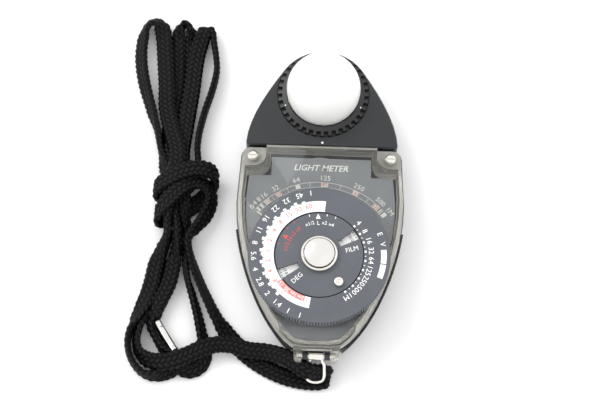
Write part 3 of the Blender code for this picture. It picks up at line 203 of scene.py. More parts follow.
# Each point is x, y, z, the way the braid's flat side looks, and how much it is bunched.
CORD_ROUTE = [
    # out of the ferrule's upper mouth and up the low middle of the bundle
    (-53.6, -22, 2.9, (0.84, 0.54, 0), 1.4), (-55.3, -19.5, 2.8, (0.84, 0.54, 0), 1.3),
    (-56, -16.2, 2.0, (0.4, 0.2, 0.9), 0.6),
    (-54.9, -11.5, 1.4, UP, 0.2), (-53, -5.5, 1.4, UP, 0.2), (-51.3, 1, 1.6, UP, 0.4),
    (-49.9, 7, 2.2, (0.7, 0, 0.7), 0.9), (-49.6, 12, 2.4, RIGHT, 1), (-49.6, 18, 3.2, RIGHT, 0.8),
    (-48.8, 24, 3.6, UP, 0.5), (-48.6, 30, 3.7, UP, 0.4), (-49.6, 38, 3.2, UP, 0.1),
    # the middle loop above the knot
    (-50.2, 44, 2.2, UP, 0), (-49.4, 52, 1.4, UP, 0), (-48.4, 60, 1.3, UP, 0), (-47.4, 70, 1.3, UP, 0),
    (-47.2, 80, 1.4, UP, 0), (-47.6, 86, 1.9, (0.2, 0, 1), 0), (-48.2, 90, 2.5, (0.6, 0.2, 0.8), 0),
    (-49.4, 93, 3.2, (0.4, 0.9, 0.2), 0), (-51.3, 94, 3.3, (-0.2, 1, 0.1), 0),
    (-53, 92.2, 2.9, (-0.6, 0.5, 0.6), 0), (-53.4, 88, 2.0, (-0.3, 0, 0.95), 0), (-53.1, 82, 1.4, UP, 0),
    (-52.9, 75, 1.3, UP, 0), (-53.1, 67, 1.3, UP, 0), (-54.2, 60, 1.5, UP, 0),
    (-55, 52, 2.4, (-0.6, 0, 0.8), 0), (-55, 44, 3.4, LEFT, 0), (-54.2, 38, 4.6, (-0.8, 0, 0.6), 0.2),
    # down through the knot and the bundle, past the ferrule, to the turn under the cross band
    (-53.6, 30, 5.7, UP, 0.4), (-52.2, 22, 6.0, (-0.3, 0, 0.9), 0.6), (-50.2, 16, 6.6, LEFT, 0.9),
    (-49.6, 12, 7.0, LEFT, 1), (-49.9, 7, 6.0, (-0.8, 0, 0.5), 0.8), (-50.6, 1, 4.4, UP, 0.3),
    (-52, -6, 3.9, UP, 0.2), (-54.6, -12, 3.9, UP, 0.2), (-56.9, -16.6, 3.6, (-0.5, 0, 0.85), 0),
    (-57.5, -20.3, 3.3, (-0.95, -0.2, 0.2), 0), (-55.9, -24.3, 3.2, (-0.85, -0.5, 0), 0),
    (-53, -29, 3.4, (-0.85, -0.5, 0.1), 0), (-50.3, -32.3, 3.7, (-0.5, -0.5, 0.7), 0.1),
    (-46.9, -35, 3.2, (-0.1, -0.4, 0.9), 0.1), (-43.2, -35.9, 2.0, (0, -0.4, 0.9), 0),
    (-40, -34.4, 1.8, (0.3, -0.3, 0.9), 0), (-38.3, -31.2, 2.0, (0.6, 0, 0.8), 0),
    (-38.6, -27, 2.5, (0.8, 0.1, 0.6), 0), (-39.9, -21.5, 2.9, (0.85, 0.2, 0.4), 0),
    (-41.5, -15.5, 3.1, (0.9, 0.2, 0.3), 0), (-43.6, -9, 3.2, (0.95, 0.2, 0.2), 0),
    (-45.6, -3, 3.1, RIGHT, 0.1), (-46.6, 4, 2.8, RIGHT, 0.5), (-46.4, 12, 2.4, RIGHT, 1),
    # up through the knot to the right-hand loop
    (-47.2, 18, 4.2, (0.8, 0, 0.6), 0.8), (-48, 24, 5.4, UP, 0.5), (-48.6, 30, 5.7, UP, 0.4),
    (-49.4, 38, 5.6, UP, 0.1), (-49.8, 44, 4.6, UP, 0), (-49, 52, 3.9, UP, 0), (-48.2, 60, 3.8, UP, 0),
    (-47.2, 69, 3.8, UP, 0), (-46.7, 76, 3.8, UP, 0), (-45.8, 83, 3.9, (0.1, 0, 1), 0),
    (-44.5, 88.4, 3.9, (0.2, 0.1, 1), 0), (-43.3, 91.2, 3.6, (0.4, 0.7, 0.6), 0),
    (-41.9, 92, 3.4, (0.5, 0.85, 0.1), 0), (-40.7, 90.4, 3.3, (0.95, 0.3, 0), 0),
    (-40.2, 87, 3.3, RIGHT, 0), (-39.3, 82, 3.3, RIGHT, 0), (-38.7, 76, 3.3, RIGHT, 0),
    (-39.9, 68.6, 3.3, RIGHT, 0), (-42.2, 60, 3.3, RIGHT, 0), (-43.8, 52, 3.4, RIGHT, 0),
    (-44.3, 46, 3.4, RIGHT, 0), (-43.8, 40, 3.4, RIGHT, 0.1),
    # twice round the bundle
    (-44.8, 34, 2.4, (0.6, 0, -0.8), 0.1), (-48.8, 30, 1.3, DOWN, 0.1), (-53.4, 27.8, 1.4, DOWN, 0),
    (-57, 27.4, 3.2, (-0.8, 0, -0.6), 0), (-58, 28, 5.8, LEFT, 0),
    (-56.8, 29.3, 8.4, (-0.75, 0, 0.66), 0), (-53.2, 31.5, 10.2, (-0.2, 0, 1), 0),
    (-48.5, 33.8, 10.8, UP, 0), (-43.5, 35.2, 10.3, (0.15, 0, 1), 0),
    (-39.2, 35, 8.6, (0.6, 0, 0.8), 0), (-37, 33.8, 6.0, RIGHT, 0), (-38, 31.4, 3.0, (0.8, 0, -0.6), 0),
    (-41.4, 27.4, 1.4, (0.1, 0, -1), 0), (-46.5, 22.8, 1.3, DOWN, 0), (-52, 19.6, 1.4, DOWN, 0),
    (-56, 18, 2.8, (-0.7, 0, -0.7), 0), (-57.2, 18.3, 5.2, LEFT, 0), (-55.9, 20.4, 7.8, (-0.7, 0, 0.7), 0),
    (-52.7, 24.2, 9.6, (-0.15, 0, 1), 0), (-49, 28, 9.9, UP, 0), (-45.3, 30.7, 8.4, (0.3, 0, 1), 0),
    (-41.8, 31, 6.9, (0.5, 0.3, 0.8), 0), (-39, 28.4, 5.8, (0.75, 0.2, 0.6), 0),
    (-38.4, 24.4, 5.1, (0.8, 0, 0.6), 0), (-40.2, 19.4, 5.0, (0.75, 0, 0.65), 0.1),
    (-43.2, 14.8, 5.4, (0.9, 0, 0.4), 0.6), (-45.9, 10.6, 6.2, RIGHT, 1),
    # down to the table and along it to the strap ring
    (-45.3, 6, 5.2, RIGHT, 0.7), (-43.4, 1, 3.9, (0.95, 0.2, 0.3), 0.2),
    (-40.8, -5, 3.2, (0.8, 0.45, 0.4), 0),
    (-37.7, -11.5, 3.1, (0.75, 0.45, 0.5), 0), (-34.6, -17.3, 2.9, (0.65, 0.4, 0.6), 0),
    (-31.3, -22, 2.1, (0.3, 0.2, 0.9), 0), (-27.8, -26, 1.4, UP, 0), (-23.5, -30, 1.3, UP, 0),
    (-17.4, -34, 1.3, UP, 0), (-11, -36.8, 1.3, UP, 0), (-5, -38.2, 1.3, UP, 0), (0, -38.5, 1.4, UP, 0),
    # back through the ring, over its left leg, and along the upper run to the cross band
    (3.1, -38, 1.9, (0.5, 0.1, 0.8), 0), (4.4, -37.2, 3.0, (1, -0.1, 0.1), 0),
    (3.9, -36.5, 4.5, (0.7, -0.4, -0.5), 0), (2, -36.2, 5.7, (0.2, -0.7, 0.65), 0),
    (-0.4, -36.4, 7.3, (-0.1, -0.7, 0.7), 0), (-3, -36.6, 8.9, (0, -0.6, 0.8), 0),
    (-6.6, -34.2, 8.2, (0.1, -0.45, 0.9), 0), (-11.3, -31.1, 6.0, (0.25, -0.2, 0.95), 0),
    (-17.2, -29.2, 4.2, UP, 0), (-23.4, -28.6, 3.8, UP, 0), (-28.6, -27.2, 3.9, UP, 0),
    (-33.5, -27.1, 4.3, UP, 0), (-38.4, -28.5, 5.2, UP, 0), (-43.4, -31.2, 5.8, UP, 0),
    (-48.3, -33.5, 6.2, (0, -0.1, 1), 0), (-53, -34.3, 5.7, (0, -0.3, 0.95), 0),
    (-57.4, -33.5, 4.8, (-0.3, -0.6, 0.75), 0), (-60.6, -30.9, 3.9, (-0.7, -0.6, 0.4), 0),
    # up the left side of the bundle to the left-hand loop
    (-61.9, -27, 3.5, (-0.95, -0.1, 0.3), 0), (-61.6, -22.4, 3.3, (-0.9, 0, 0.4), 0),
    (-60.4, -17, 2.3, (-0.5, 0, 0.85), 0.2), (-59, -12, 1.4, UP, 0.3), (-57.7, -6, 1.3, UP, 0.2),
    (-56.6, 1, 1.4, UP, 0.3), (-54.7, 7, 2.0, (-0.7, 0, 0.7), 0.8), (-53, 12, 2.4, LEFT, 1),
    (-53.8, 18, 3.2, LEFT, 0.8), (-53.8, 24, 3.6, (-0.7, 0, 0.7), 0.5),
    (-53.8, 30, 3.8, (-0.5, 0, 0.85), 0.4),
    (-55.6, 38, 3.8, (-0.8, 0, 0.6), 0.1), (-57.2, 44, 3.4, LEFT, 0), (-59, 52, 3.3, (-1, 0, 0.1), 0),
    (-61.6, 60, 3.4, (-0.9, 0, 0.45), 0), (-64.9, 71, 3.2, (-0.8, 0, 0.6), 0),
    (-66.4, 80, 3.1, (-0.75, 0, 0.66), 0), (-66.2, 87.4, 3.1, (-0.75, 0.1, 0.66), 0),
    (-65.1, 92, 3.5, (-0.7, 0.6, 0.4), 0), (-63.1, 94.2, 3.6, (-0.1, 0.85, 0.5), 0),
    (-60.9, 94, 3.6, (0.2, 0.7, 0.7), 0), (-59.2, 91.4, 3.4, (0.1, 0.3, 0.95), 0),
    (-58.4, 87, 3.2, (-0.15, 0, 1), 0), (-57.6, 79, 3.2, (-0.18, 0, 1), 0),
    (-56.6, 69.5, 3.6, (-0.1, 0, 1), 0), (-55.9, 60, 4.1, UP, 0), (-53.8, 52, 5.4, UP, 0),
    (-51.4, 44, 7.0, UP, 0), (-51, 38, 7.9, UP, 0.1),
    # down through the knot and the bundle and round into the ferrule's lower mouth
    (-53, 30, 7.9, UP, 0.4), (-53.6, 22, 7.6, (-0.3, 0, 0.9), 0.6), (-53.2, 16, 7.2, LEFT, 0.9),
    (-53, 12, 7.0, LEFT, 1), (-54.8, 7, 5.6, (-0.7, 0, 0.7), 0.8), (-56.8, 1, 4.0, UP, 0.3),
    (-58, -6, 3.8, UP, 0.2), (-59.8, -12, 3.8, (-0.3, 0, 0.95), 0.2),
    (-62.2, -17.5, 3.5, (-0.8, 0, 0.6), 0),
    (-64.3, -22.5, 3.3, LEFT, 0), (-64.9, -27, 3.3, LEFT, 0), (-64, -31.5, 3.2, (-0.95, -0.3, 0), 0),
    (-61.9, -35.2, 3.2, (-0.7, -0.7, 0), 0), (-58.9, -37.9, 3.1, (-0.35, -0.93, 0), 0),
    (-55.4, -38.5, 2.9, (0, -0.95, 0.25), 0), (-51.9, -37, 1.9, (0.1, -0.5, 0.85), 0),
    (-49, -35.2, 1.3, UP, 0), (-46.9, -32.6, 1.7, (0.3, 0.2, 0.9), 0.4),
    (-48.4, -30, 2.7, (0.84, 0.54, 0), 1.3), (-50.2, -27.3, 2.9, (0.84, 0.54, 0), 1.4),
]


def cord_centreline():
    """Evenly spaced points along the cord, and how far along each point of the route is."""
    knots = [Vector(point[:3]) for point in CORD_ROUTE]
    around = [knots[0] * 2 - knots[1], *knots, knots[-1] * 2 - knots[-2]]
    headings = [(around[i + 2] - around[i]).normalized() for i in range(len(knots))]
    fine = []
    starts = []
    for i in range(len(knots) - 1):
        reach = (knots[i + 1] - knots[i]).length / 3
        starts.append(len(fine))
        fine += interpolate_bezier(knots[i], knots[i] + headings[i] * reach,
                                   knots[i + 1] - headings[i + 1] * reach, knots[i + 1],
                                   CURVE_STEPS)[:-1]
    starts.append(len(fine))
    fine = np.array([*fine, knots[-1]])
    run = np.concatenate(([0], np.cumsum(np.linalg.norm(np.diff(fine, axis=0), axis=1))))
    stations = np.linspace(0, run[-1], round(run[-1] / RING_STEP) + 1)
    points = np.stack([np.interp(stations, run, fine[:, k]) for k in range(3)], axis=1)
    return points, stations, run[starts]


def carried_frames(points):
    """Headings along the cord, and a side direction carried along it without twist."""
    headings = np.gradient(points, axis=0)
    headings /= np.linalg.norm(headings, axis=1)[:, None]
    sides = np.zeros_like(points)
    side = Vector(headings[0]).orthogonal().normalized()
    for i, heading in enumerate(headings):
        if i:
            side = Vector(headings[i - 1]).rotation_difference(Vector(heading)) @ side
        side = (side - Vector(heading) * side.dot(Vector(heading))).normalized()
        sides[i] = side
    return headings, sides, np.cross(headings, sides)


def cord_facings(points, stations, knots_at):
    """The direction that the braid's flat side looks in at each ring, turning smoothly."""
    headings, sides, ups = carried_frames(points)
    turns = []
    for place, knot in zip(knots_at, CORD_ROUTE):
        i = min(int(round(place / stations[-1] * (len(stations) - 1))), len(stations) - 1)
        wanted = np.array(knot[3], float)
        turn = math.atan2(wanted @ ups[i], wanted @ sides[i])
        if turns:  # both flat sides are alike, so the nearer one is taken
            turn += math.pi * round((turns[-1] - turn) / math.pi)
        turns.append(turn)
    turn = smooth_between(stations, knots_at, turns)[:, None]
    return headings, np.cos(turn) * sides + np.sin(turn) * ups


def smooth_between(stations, knots_at, values):
    """Eases from each knot's value to the next."""
    after = np.clip(np.searchsorted(knots_at, stations, side="right"), 1, len(knots_at) - 1)
    start, stop = knots_at[after - 1], knots_at[after]
    share = np.clip((stations - start) / (stop - start), 0, 1)
    share = share * share * (3 - 2 * share)
    values = np.array(values, float)
    return values[after - 1] * (1 - share) + values[after] * share


def rounded_flat(share, width, thickness):
    """Places and outward directions round a flat section with round edges, by share of its girth."""
    edge = thickness / 2
    straight = width - thickness
    girth = 2 * straight + 2 * math.pi * edge
    run = np.mod(share + straight / 2 / girth, 1) * girth
    flat_far = straight + math.pi * edge
    on_top = run < straight
    on_left = (run >= straight) & (run < flat_far)
    on_foot = (run >= flat_far) & (run < flat_far + straight)
    bend = np.where(on_left, (run - straight) / edge, (run - flat_far - straight) / edge + math.pi)
    across = np.select([on_top, on_foot], [straight / 2 - run, run - flat_far - straight / 2],
                       np.where(on_left, -straight / 2, straight / 2) - edge * np.sin(bend))
    out_across = np.where(on_top | on_foot, 0.0, -np.sin(bend))
    out_up = np.select([on_top, on_foot], [np.ones_like(run), -np.ones_like(run)], np.cos(bend))
    return across, edge * out_up, out_across, out_up


def braid_height(around, along):
    """How high the yarns stand, from 0 to 1, in a braid where each passes over two and under two."""
    first = around * YARNS_EACH_WAY + along / YARN_LAY
    second = around * YARNS_EACH_WAY - along / YARN_LAY
    phase = np.mod(np.floor(first) + second, 4) / 2
    over = np.mod(np.floor(second) + first + 2, 4) / 2
    crown_first = np.sin(np.pi * np.mod(first, 1)) ** 0.6 * np.sin(np.pi * np.clip(phase, 0, 1)) ** 0.5
    crown_second = np.sin(np.pi * np.mod(second, 1)) ** 0.6 * np.sin(np.pi * np.clip(over, 0, 1)) ** 0.5
    return np.maximum(crown_first, crown_second)


def swept_braid(points, stations, knots_at):
    """Places for the rings of the braid's skin, and how high the yarns stand at each."""
    headings, facings = cord_facings(points, stations, knots_at)
    across = np.cross(headings, facings)
    bunch = smooth_between(stations, knots_at, [point[4] for point in CORD_ROUTE])[:, None]
    share = np.linspace(0, 1, RING_SIDES + 1)[None, :]
    width = BRAID_WIDTH + (BUNCHED_WIDTH - BRAID_WIDTH) * bunch
    thickness = BRAID_THICKNESS + (BUNCHED_THICKNESS - BRAID_THICKNESS) * bunch
    sideways, upright, out_side, out_up = rounded_flat(share, width - YARN_RISE, thickness - YARN_RISE)
    height = braid_height(share, stations[:, None])
    sideways = sideways + out_side * (height - 0.5) * YARN_RISE
    upright = upright + out_up * (height - 0.5) * YARN_RISE
    places = (points[:, None, :] + across[:, None, :] * sideways[..., None]
              + facings[:, None, :] * upright[..., None])
    places[..., 2] = np.maximum(places[..., 2], TABLE_GAP)
    return places, height


def neck_cord(sleeve):
    """One length of braid, from mouth to mouth of the ferrule, swept along its route."""
    points, stations, knots_at = cord_centreline()
    places, height = swept_braid(points, stations, knots_at)
    mesh = bmesh.new()
    mesh.loops.layers.uv.new("along_braid")
    bmesh.ops.create_grid(mesh, x_segments=RING_SIDES, y_segments=len(stations) - 1, size=1,
                          calc_uvs=True)
    crown = mesh.verts.layers.float.new("crown")
    for vertex, place, rise in zip(mesh.verts, places.reshape(-1, 3), height.ravel()):
        vertex.co = place
        vertex[crown] = rise
    bmesh.ops.remove_doubles(mesh, verts=mesh.verts, dist=0.001)
    bmesh.ops.holes_fill(mesh, edges=[edge for edge in mesh.edges if edge.is_boundary])
    bmesh.ops.recalc_face_normals(mesh, faces=mesh.faces)
    cord = piece("neck_cord", mesh, braided_nylon(stations[-1]), None,
                 ["cord_hank_upper", "cord_knot", "cord_hank_lower", "cord_run_upper", "cord_run_lower",
                  "cord_bight"], sharp=180)
    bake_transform(cord)


def braided_nylon(length):
    """Black nylon braid with a soft low sheen, and painted light: the yarns' crowns are painted lighter and
    the hollows between them painted near black as shade.
    """
    look = plain("braided_nylon", "#0c0c0d", 0.5, Specular_IOR_Level=0.1)
    crown = add(look, "ShaderNodeAttribute", attribute_name="crown")
    # painted light and shade: the ramp paints the yarns' crowns lighter, as if lit, and the hollows between
    # them near black, as shade
    tone = add(look, "ShaderNodeValToRGB", {"Fac": crown.outputs["Fac"]},
               [(0.4, "#010101"), (1.0, "#232326")])
    feed(look, "Base Color", tone.outputs["Color"])
    place = add(look, "ShaderNodeTexCoord")
    girth = 15.6
    stretched = add(look, "ShaderNodeMapping",
                    {"Vector": place.outputs["UV"], "Scale": (girth, length, 1)})
    filaments = add(look, "ShaderNodeTexNoise",
                    {"Vector": stretched.outputs["Vector"], "Scale": 3.5, "Detail": 4})
    bump = add(look, "ShaderNodeBump",
               {"Height": filaments.outputs["Fac"], "Strength": 0.4, "Distance": 0.2 * MM})
    feed(look, "Normal", bump.outputs["Normal"])
    return look


# ---- finishing a piece ----

def piece(name, mesh, look, body, stands_for=(), sharp=35):
    """Turns a bmesh in millimetres into a finished piece that rides on a body."""
    mesh.transform(TO_FRAME)
    data = bpy.data.meshes.new(name)
    mesh.to_mesh(data)
    mesh.free()
    data.shade_smooth()
    if sharp < 180:
        data.set_sharp_from_angle(angle=math.radians(sharp))
    data.materials.append(look)
    made = bpy.data.objects.new(name, data)
    bpy.context.scene.collection.objects.link(made)
    if body:
        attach(made, body)
    if stands_for:
        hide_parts(*stands_for)
    return made


def spun(profile, at=(0, 0), steps=96, closed=True):
    """A turned shape about an upright axis, from (radius, height) points. An open one starts and
    ends on the axis."""
    mesh = bmesh.new()
    points = [mesh.verts.new((at[0] + radius, at[1], height)) for radius, height in profile]
    around = points[1:] + points[:1] if closed else points[1:]
    edges = [mesh.edges.new(pair) for pair in zip(points, around)]
    bmesh.ops.spin(mesh, geom=points + edges, cent=(*at, 0), axis=(0, 0, 1), angle=2 * math.pi,
                   steps=steps, use_merge=True)
    bmesh.ops.remove_doubles(mesh, verts=mesh.verts, dist=0.001)
    bmesh.ops.recalc_face_normals(mesh, faces=mesh.faces)
    return mesh


# ---- finishes ----

def grained(name, light, dark, roughness, grain, depth, metallic=0.0, stretch=(1, 1, 1), spread=0.08,
            **sockets):
    """A finish with a fine grain: two colours, a roughness that wanders, and a bump. Grain and depth
    are in millimetres, and stretch draws the grain out along an axis, as brushing does."""
    look = plain(name, light, roughness, metallic, **sockets)
    place = add(look, "ShaderNodeTexCoord")
    drawn = add(look, "ShaderNodeMapping", {"Vector": place.outputs["Object"], "Scale": stretch})
    fine = add(look, "ShaderNodeTexNoise",
               {"Vector": drawn.outputs["Vector"], "Scale": 1000 / grain, "Detail": 3})
    broad = add(look, "ShaderNodeTexNoise", {"Vector": place.outputs["Object"], "Scale": 110, "Detail": 2})
    tone = add(look, "ShaderNodeValToRGB", {"Fac": broad.outputs["Fac"]}, [(0.3, dark), (0.7, light)])
    feed(look, "Base Color", tone.outputs["Color"])
    wander = add(look, "ShaderNodeMapRange", {"Value": fine.outputs["Fac"], "To Min": roughness - spread,
                                              "To Max": roughness + spread})
    feed(look, "Roughness", wander.outputs["Result"])
    bump = add(look, "ShaderNodeBump",
               {"Height": fine.outputs["Fac"], "Strength": 0.5, "Distance": depth * MM})
    feed(look, "Normal", bump.outputs["Normal"])
    return look


def finishes():
    """One finish for each of the record's material slots but the cord's, and the finer ones that
    single pieces wear, each named for what the real one is."""
    return {
        # moulded ABS: near black, with a fine leathery spark that breaks up its low sheen
        "black_plastic": grained("moulded_abs", "#232426", "#1b1c1e", 0.42, 0.35, 0.02),
        # cast acrylic: clear with a faint warm grey, and bright lines where its edges bend the light
        "clear_acrylic": clear_acrylic(),
        # anodised aluminium, screen printed: slate grey and softly matt
        "dial_black": grained("anodised_slate", "#595c63", "#53575d", 0.4, 0.12, 0.004),
        # enamelled sheet: a slate grey that mirrors the sky a little
        "plate_grey": grained("enamelled_plate", "#91949b", "#898c93", 0.34, 0.3, 0.004),
        # opal acrylic: milk white, and light spreads under its skin
        "diffuser_white": opal_acrylic(),
        # satin nickel plate: pale warm silver with a soft edge to what it mirrors
        "bright_metal": grained("satin_nickel", "#e9e6df", "#dfdcd5", 0.22, 0.2, 0.002, 1.0, spread=0.04),
        # bright rolled steel: cool grey with a straight grain
        "steel": grained("bright_steel", "#b9bbbd", "#a9abad", 0.32, 0.2, 0.003, 1.0, (1, 8, 1)),
        # machined brass: warm gold with fine straight tool marks
        "brass": grained("turned_brass", "#d8b56a", "#c49f55", 0.3, 0.2, 0.003, 1.0, (8, 1, 1)),
        # sheet aluminium with a straight brushed grain along the meter
        "aluminium": grained("brushed_aluminium", "#cfd1d3", "#bfc1c4", 0.34, 0.5, 0.006, 1.0, (10, 0.4, 1)),
        # enamelled winding wire: reddish brown with the fine lines of its turns
        "copper_wire": grained("enamelled_copper", "#b8693c", "#9a5230", 0.3, 0.15, 0.004, 1.0, (1, 1, 9)),
        # flat white paint, a little warm
        "needle_white": grained("white_paint", "#f1efe8", "#e9e7e0", 0.5, 0.4, 0.003),
        # selenium on steel: violet grey, half like metal
        "selenium": grained("selenium_layer", "#3b3842", "#302e38", 0.3, 0.25, 0.004, 0.3),
        # extruded vinyl: a soft even sheen
        "lead_red": grained("red_pvc", "#a81f1c", "#93201d", 0.5, 0.5, 0.004),
        "lead_black": grained("black_pvc", "#1a1a1b", "#141415", 0.5, 0.5, 0.004),
        # moulded phenolic: dull tan with a flecked skin
        "resistor_tan": grained("moulded_phenolic", "#b79a72", "#a58a63", 0.5, 0.4, 0.006),
        # satin lacquer on the head: slate grey that lifts towards the light
        "head": grained("satin_lacquer", "#1f2226", "#1b1e22", 0.36, 0.25, 0.004),
        # moulded acrylic with the skin of its tool: the walls and edges of the cover
        "satin_acrylic": satin_acrylic(),
        # the dial's teeth crowns: paler, half metallic anodising, partly wear and partly a painted highlight
        # that stands for their glints
        "painted_glint": grained("anodising_painted_glint", "#a3a6a8", "#8d9093", 0.35, 0.3, 0.003, 0.6),
        # chrome plating on the button: bright, with a soft image of the sky
        "button": grained("bright_chrome", "#e4e2de", "#dcdad6", 0.16, 0.3, 0.001, 1.0, spread=0.03),
        # polished nickel on the cord's sleeve: a clear mirror with a grey edge
        "polished": grained("polished_nickel", "#e4e3e0", "#dcdbd8", 0.08, 0.3, 0.001, 1.0, spread=0.02),
        # screen-printing inks: flat colour that lies just above the face it is printed on
        "red_ink": grained("red_ink", "#d8504c", "#cf4845", 0.5, 0.2, 0.002),
        "pink_ink": grained("pink_ink", "#ea8c89", "#e58683", 0.5, 0.2, 0.002),
        "black_ink": grained("black_ink", "#2a2b2d", "#252628", 0.5, 0.2, 0.002),
        "white_ink": grained("white_ink", "#fbfbf9", "#f6f6f4", 0.5, 0.2, 0.002),
    }


def clear_acrylic():
    """Polished acrylic: nearly unseen, with a sky in it that bends where the sheet flows."""
    look = plain("cast_acrylic", "#f8f9f6", 0.03, Transmission_Weight=1.0, IOR=1.36)
    place = add(look, "ShaderNodeTexCoord")
    flow = add(look, "ShaderNodeTexNoise", {"Vector": place.outputs["Object"], "Scale": 45, "Detail": 1})
    bump = add(look, "ShaderNodeBump",
               {"Height": flow.outputs["Fac"], "Strength": 0.15, "Distance": 0.4 * MM})
    feed(look, "Normal", bump.outputs["Normal"])
    return look


def satin_acrylic():
    """Moulded acrylic straight from the tool: clear, but pale where its skin scatters the light."""
    look = plain("satin_acrylic", "#f4f2ea", 0.28, Transmission_Weight=0.78, IOR=1.49)
    place = add(look, "ShaderNodeTexCoord")
    skin = add(look, "ShaderNodeTexNoise", {"Vector": place.outputs["Object"], "Scale": 900, "Detail": 2})
    bump = add(look, "ShaderNodeBump",
               {"Height": skin.outputs["Fac"], "Strength": 0.3, "Distance": 0.03 * MM})
    feed(look, "Normal", bump.outputs["Normal"])
    return look


def opal_acrylic():
    """Milky moulded acrylic: light goes a little way in and comes out soft."""
    look = plain("opal_acrylic", "#fbfaf5", 0.3, Subsurface_Weight=0.6, Subsurface_Scale=0.003,
                 Subsurface_Radius=(1, 1, 1), IOR=1.49)
    place = add(look, "ShaderNodeTexCoord")
    haze = add(look, "ShaderNodeTexNoise", {"Vector": place.outputs["Object"], "Scale": 300, "Detail": 2})
    cloud = add(look, "ShaderNodeMapRange", {"Value": haze.outputs["Fac"], "To Min": 0.26, "To Max": 0.36})
    feed(look, "Roughness", cloud.outputs["Result"])
    return look


def dress_frame(looks):
    """Gives every CAD node the finish of its slot."""
    slots = {part["node"]: part["material_slot"] for part in frame["record"]["subparts"]}
    for node, slot in slots.items():
        look = looks.get(slot)
        if look:
            frame["nodes"][node].data.materials[0] = look
    for node in ("head_front_shell", "head_rear_shell"):
        frame["nodes"][node].data.materials[0] = looks["head"]
    frame["nodes"]["swivel_bush"].data.materials[0] = looks["black_plastic"]


# ---- printing ----

PRINT_RISE = 0.03  # thicker than real ink, so that it shows as a solid of its own


def letters(mesh, text, size, at, turn, foot, lean=0.0, weight=0.0):
    """Adds raised lettering that reads along a direction in degrees, centred on a point."""
    curve = bpy.data.curves.new("lettering", "FONT")
    curve.body = text
    curve.size = size
    curve.align_x, curve.align_y = "CENTER", "CENTER"
    curve.resolution_u = 2
    curve.extrude = PRINT_RISE / 2
    curve.shear, curve.offset = lean, weight
    holder = bpy.data.objects.new("lettering", curve)
    flat = bpy.data.meshes.new_from_object(holder)
    place = Matrix.Translation((*at, foot + PRINT_RISE / 2))
    flat.transform(place @ Matrix.Rotation(math.radians(turn), 4, "Z"))
    mesh.from_mesh(flat)
    bpy.data.objects.remove(holder)
    bpy.data.curves.remove(curve)
    bpy.data.meshes.remove(flat)


def polar(radius, angle):
    """X and Y at a radius and an angle in degrees."""
    return radius * math.cos(math.radians(angle)), radius * math.sin(math.radians(angle))


def round_letters(mesh, text, size, radius, angle, foot, tops_out=True):
    """Lettering square to the radius, with its tops outwards or towards the axis."""
    letters(mesh, text, size, polar(radius, angle), angle - 90 if tops_out else angle + 90, foot)


def mark(mesh, inner, outer, angle, width, foot):
    """Adds a straight radial mark."""
    turn = Matrix.Rotation(math.radians(angle), 4, "Z")
    place = turn @ Matrix.Translation(((inner + outer) / 2, 0, foot + PRINT_RISE / 2))
    bmesh.ops.create_cube(mesh, size=1, matrix=place @ Matrix.Diagonal((outer - inner, width, PRINT_RISE, 1)))


def sector(mesh, inner, outer, start, stop, foot):
    """Adds part of a flat ring between two angles in degrees."""
    top = foot + PRINT_RISE
    turn = Matrix.Rotation(math.radians(start), 4, "Z")
    section = [(inner, 0, foot), (outer, 0, foot), (outer, 0, top), (inner, 0, top)]
    points = [mesh.verts.new(turn @ Vector(point)) for point in section]
    face = mesh.faces.new(points)
    bmesh.ops.spin(mesh, geom=[*points, *face.edges, face], cent=(0, 0, 0), axis=(0, 0, 1),
                   angle=math.radians(stop - start), steps=max(2, math.ceil(abs(stop - start) / 3)))


def pointer_mark(mesh, tip, base, angle, half_width, foot):
    """Adds a small triangle that points outwards."""
    turn = Matrix.Rotation(math.radians(angle), 4, "Z")
    face = mesh.faces.new([mesh.verts.new(turn @ Vector(point)) for point in
                           ((tip, 0, foot), (base, half_width, foot), (base, -half_width, foot))])
    raised = bmesh.ops.extrude_face_region(mesh, geom=[face])["geom"]
    bmesh.ops.translate(mesh, verts=[part for part in raised if isinstance(part, bmesh.types.BMVert)],
                        vec=(0, 0, PRINT_RISE))


def printed(name, mesh, look, body):
    """Finishes the marks of one ink on one part."""
    bmesh.ops.recalc_face_normals(mesh, faces=mesh.faces)
    piece(name, mesh, look, body)


# Angles of scales and marks are in degrees, counted from +X.
LIGHT_SCALE = [("0", 141), ("4", 137.4), ("8", 133.8), ("16", 129.6), ("32", 120.7), ("64", 105.8),
               ("125", 87), ("250", 64.4), ("500", 47.4), ("1M", 38.6)]
LIGHT_BLOCKS = [(128.2, 132.4), (118.9, 122.8), (104.2, 107.6), (84.6, 89.4), (62.4, 67), (44.8, 49.8),
                (134.4, 136.4), (137.8, 140), (37.6, 40.4)]
RED_SCALE = [("10", 130.3), ("20", 120.9), ("80", 87), ("160", 64.7), ("320", 47.3)]
LIGHT_BAND = (27.4, 29.3)  # the scale's two rails, as radii
RAIL_WIDTH = 0.15
LIGHT_NUMBERS, RED_NUMBERS = 30.8, 28.35  # radii that numbers are centred on
NAME_PLACE = (0, 34.4)


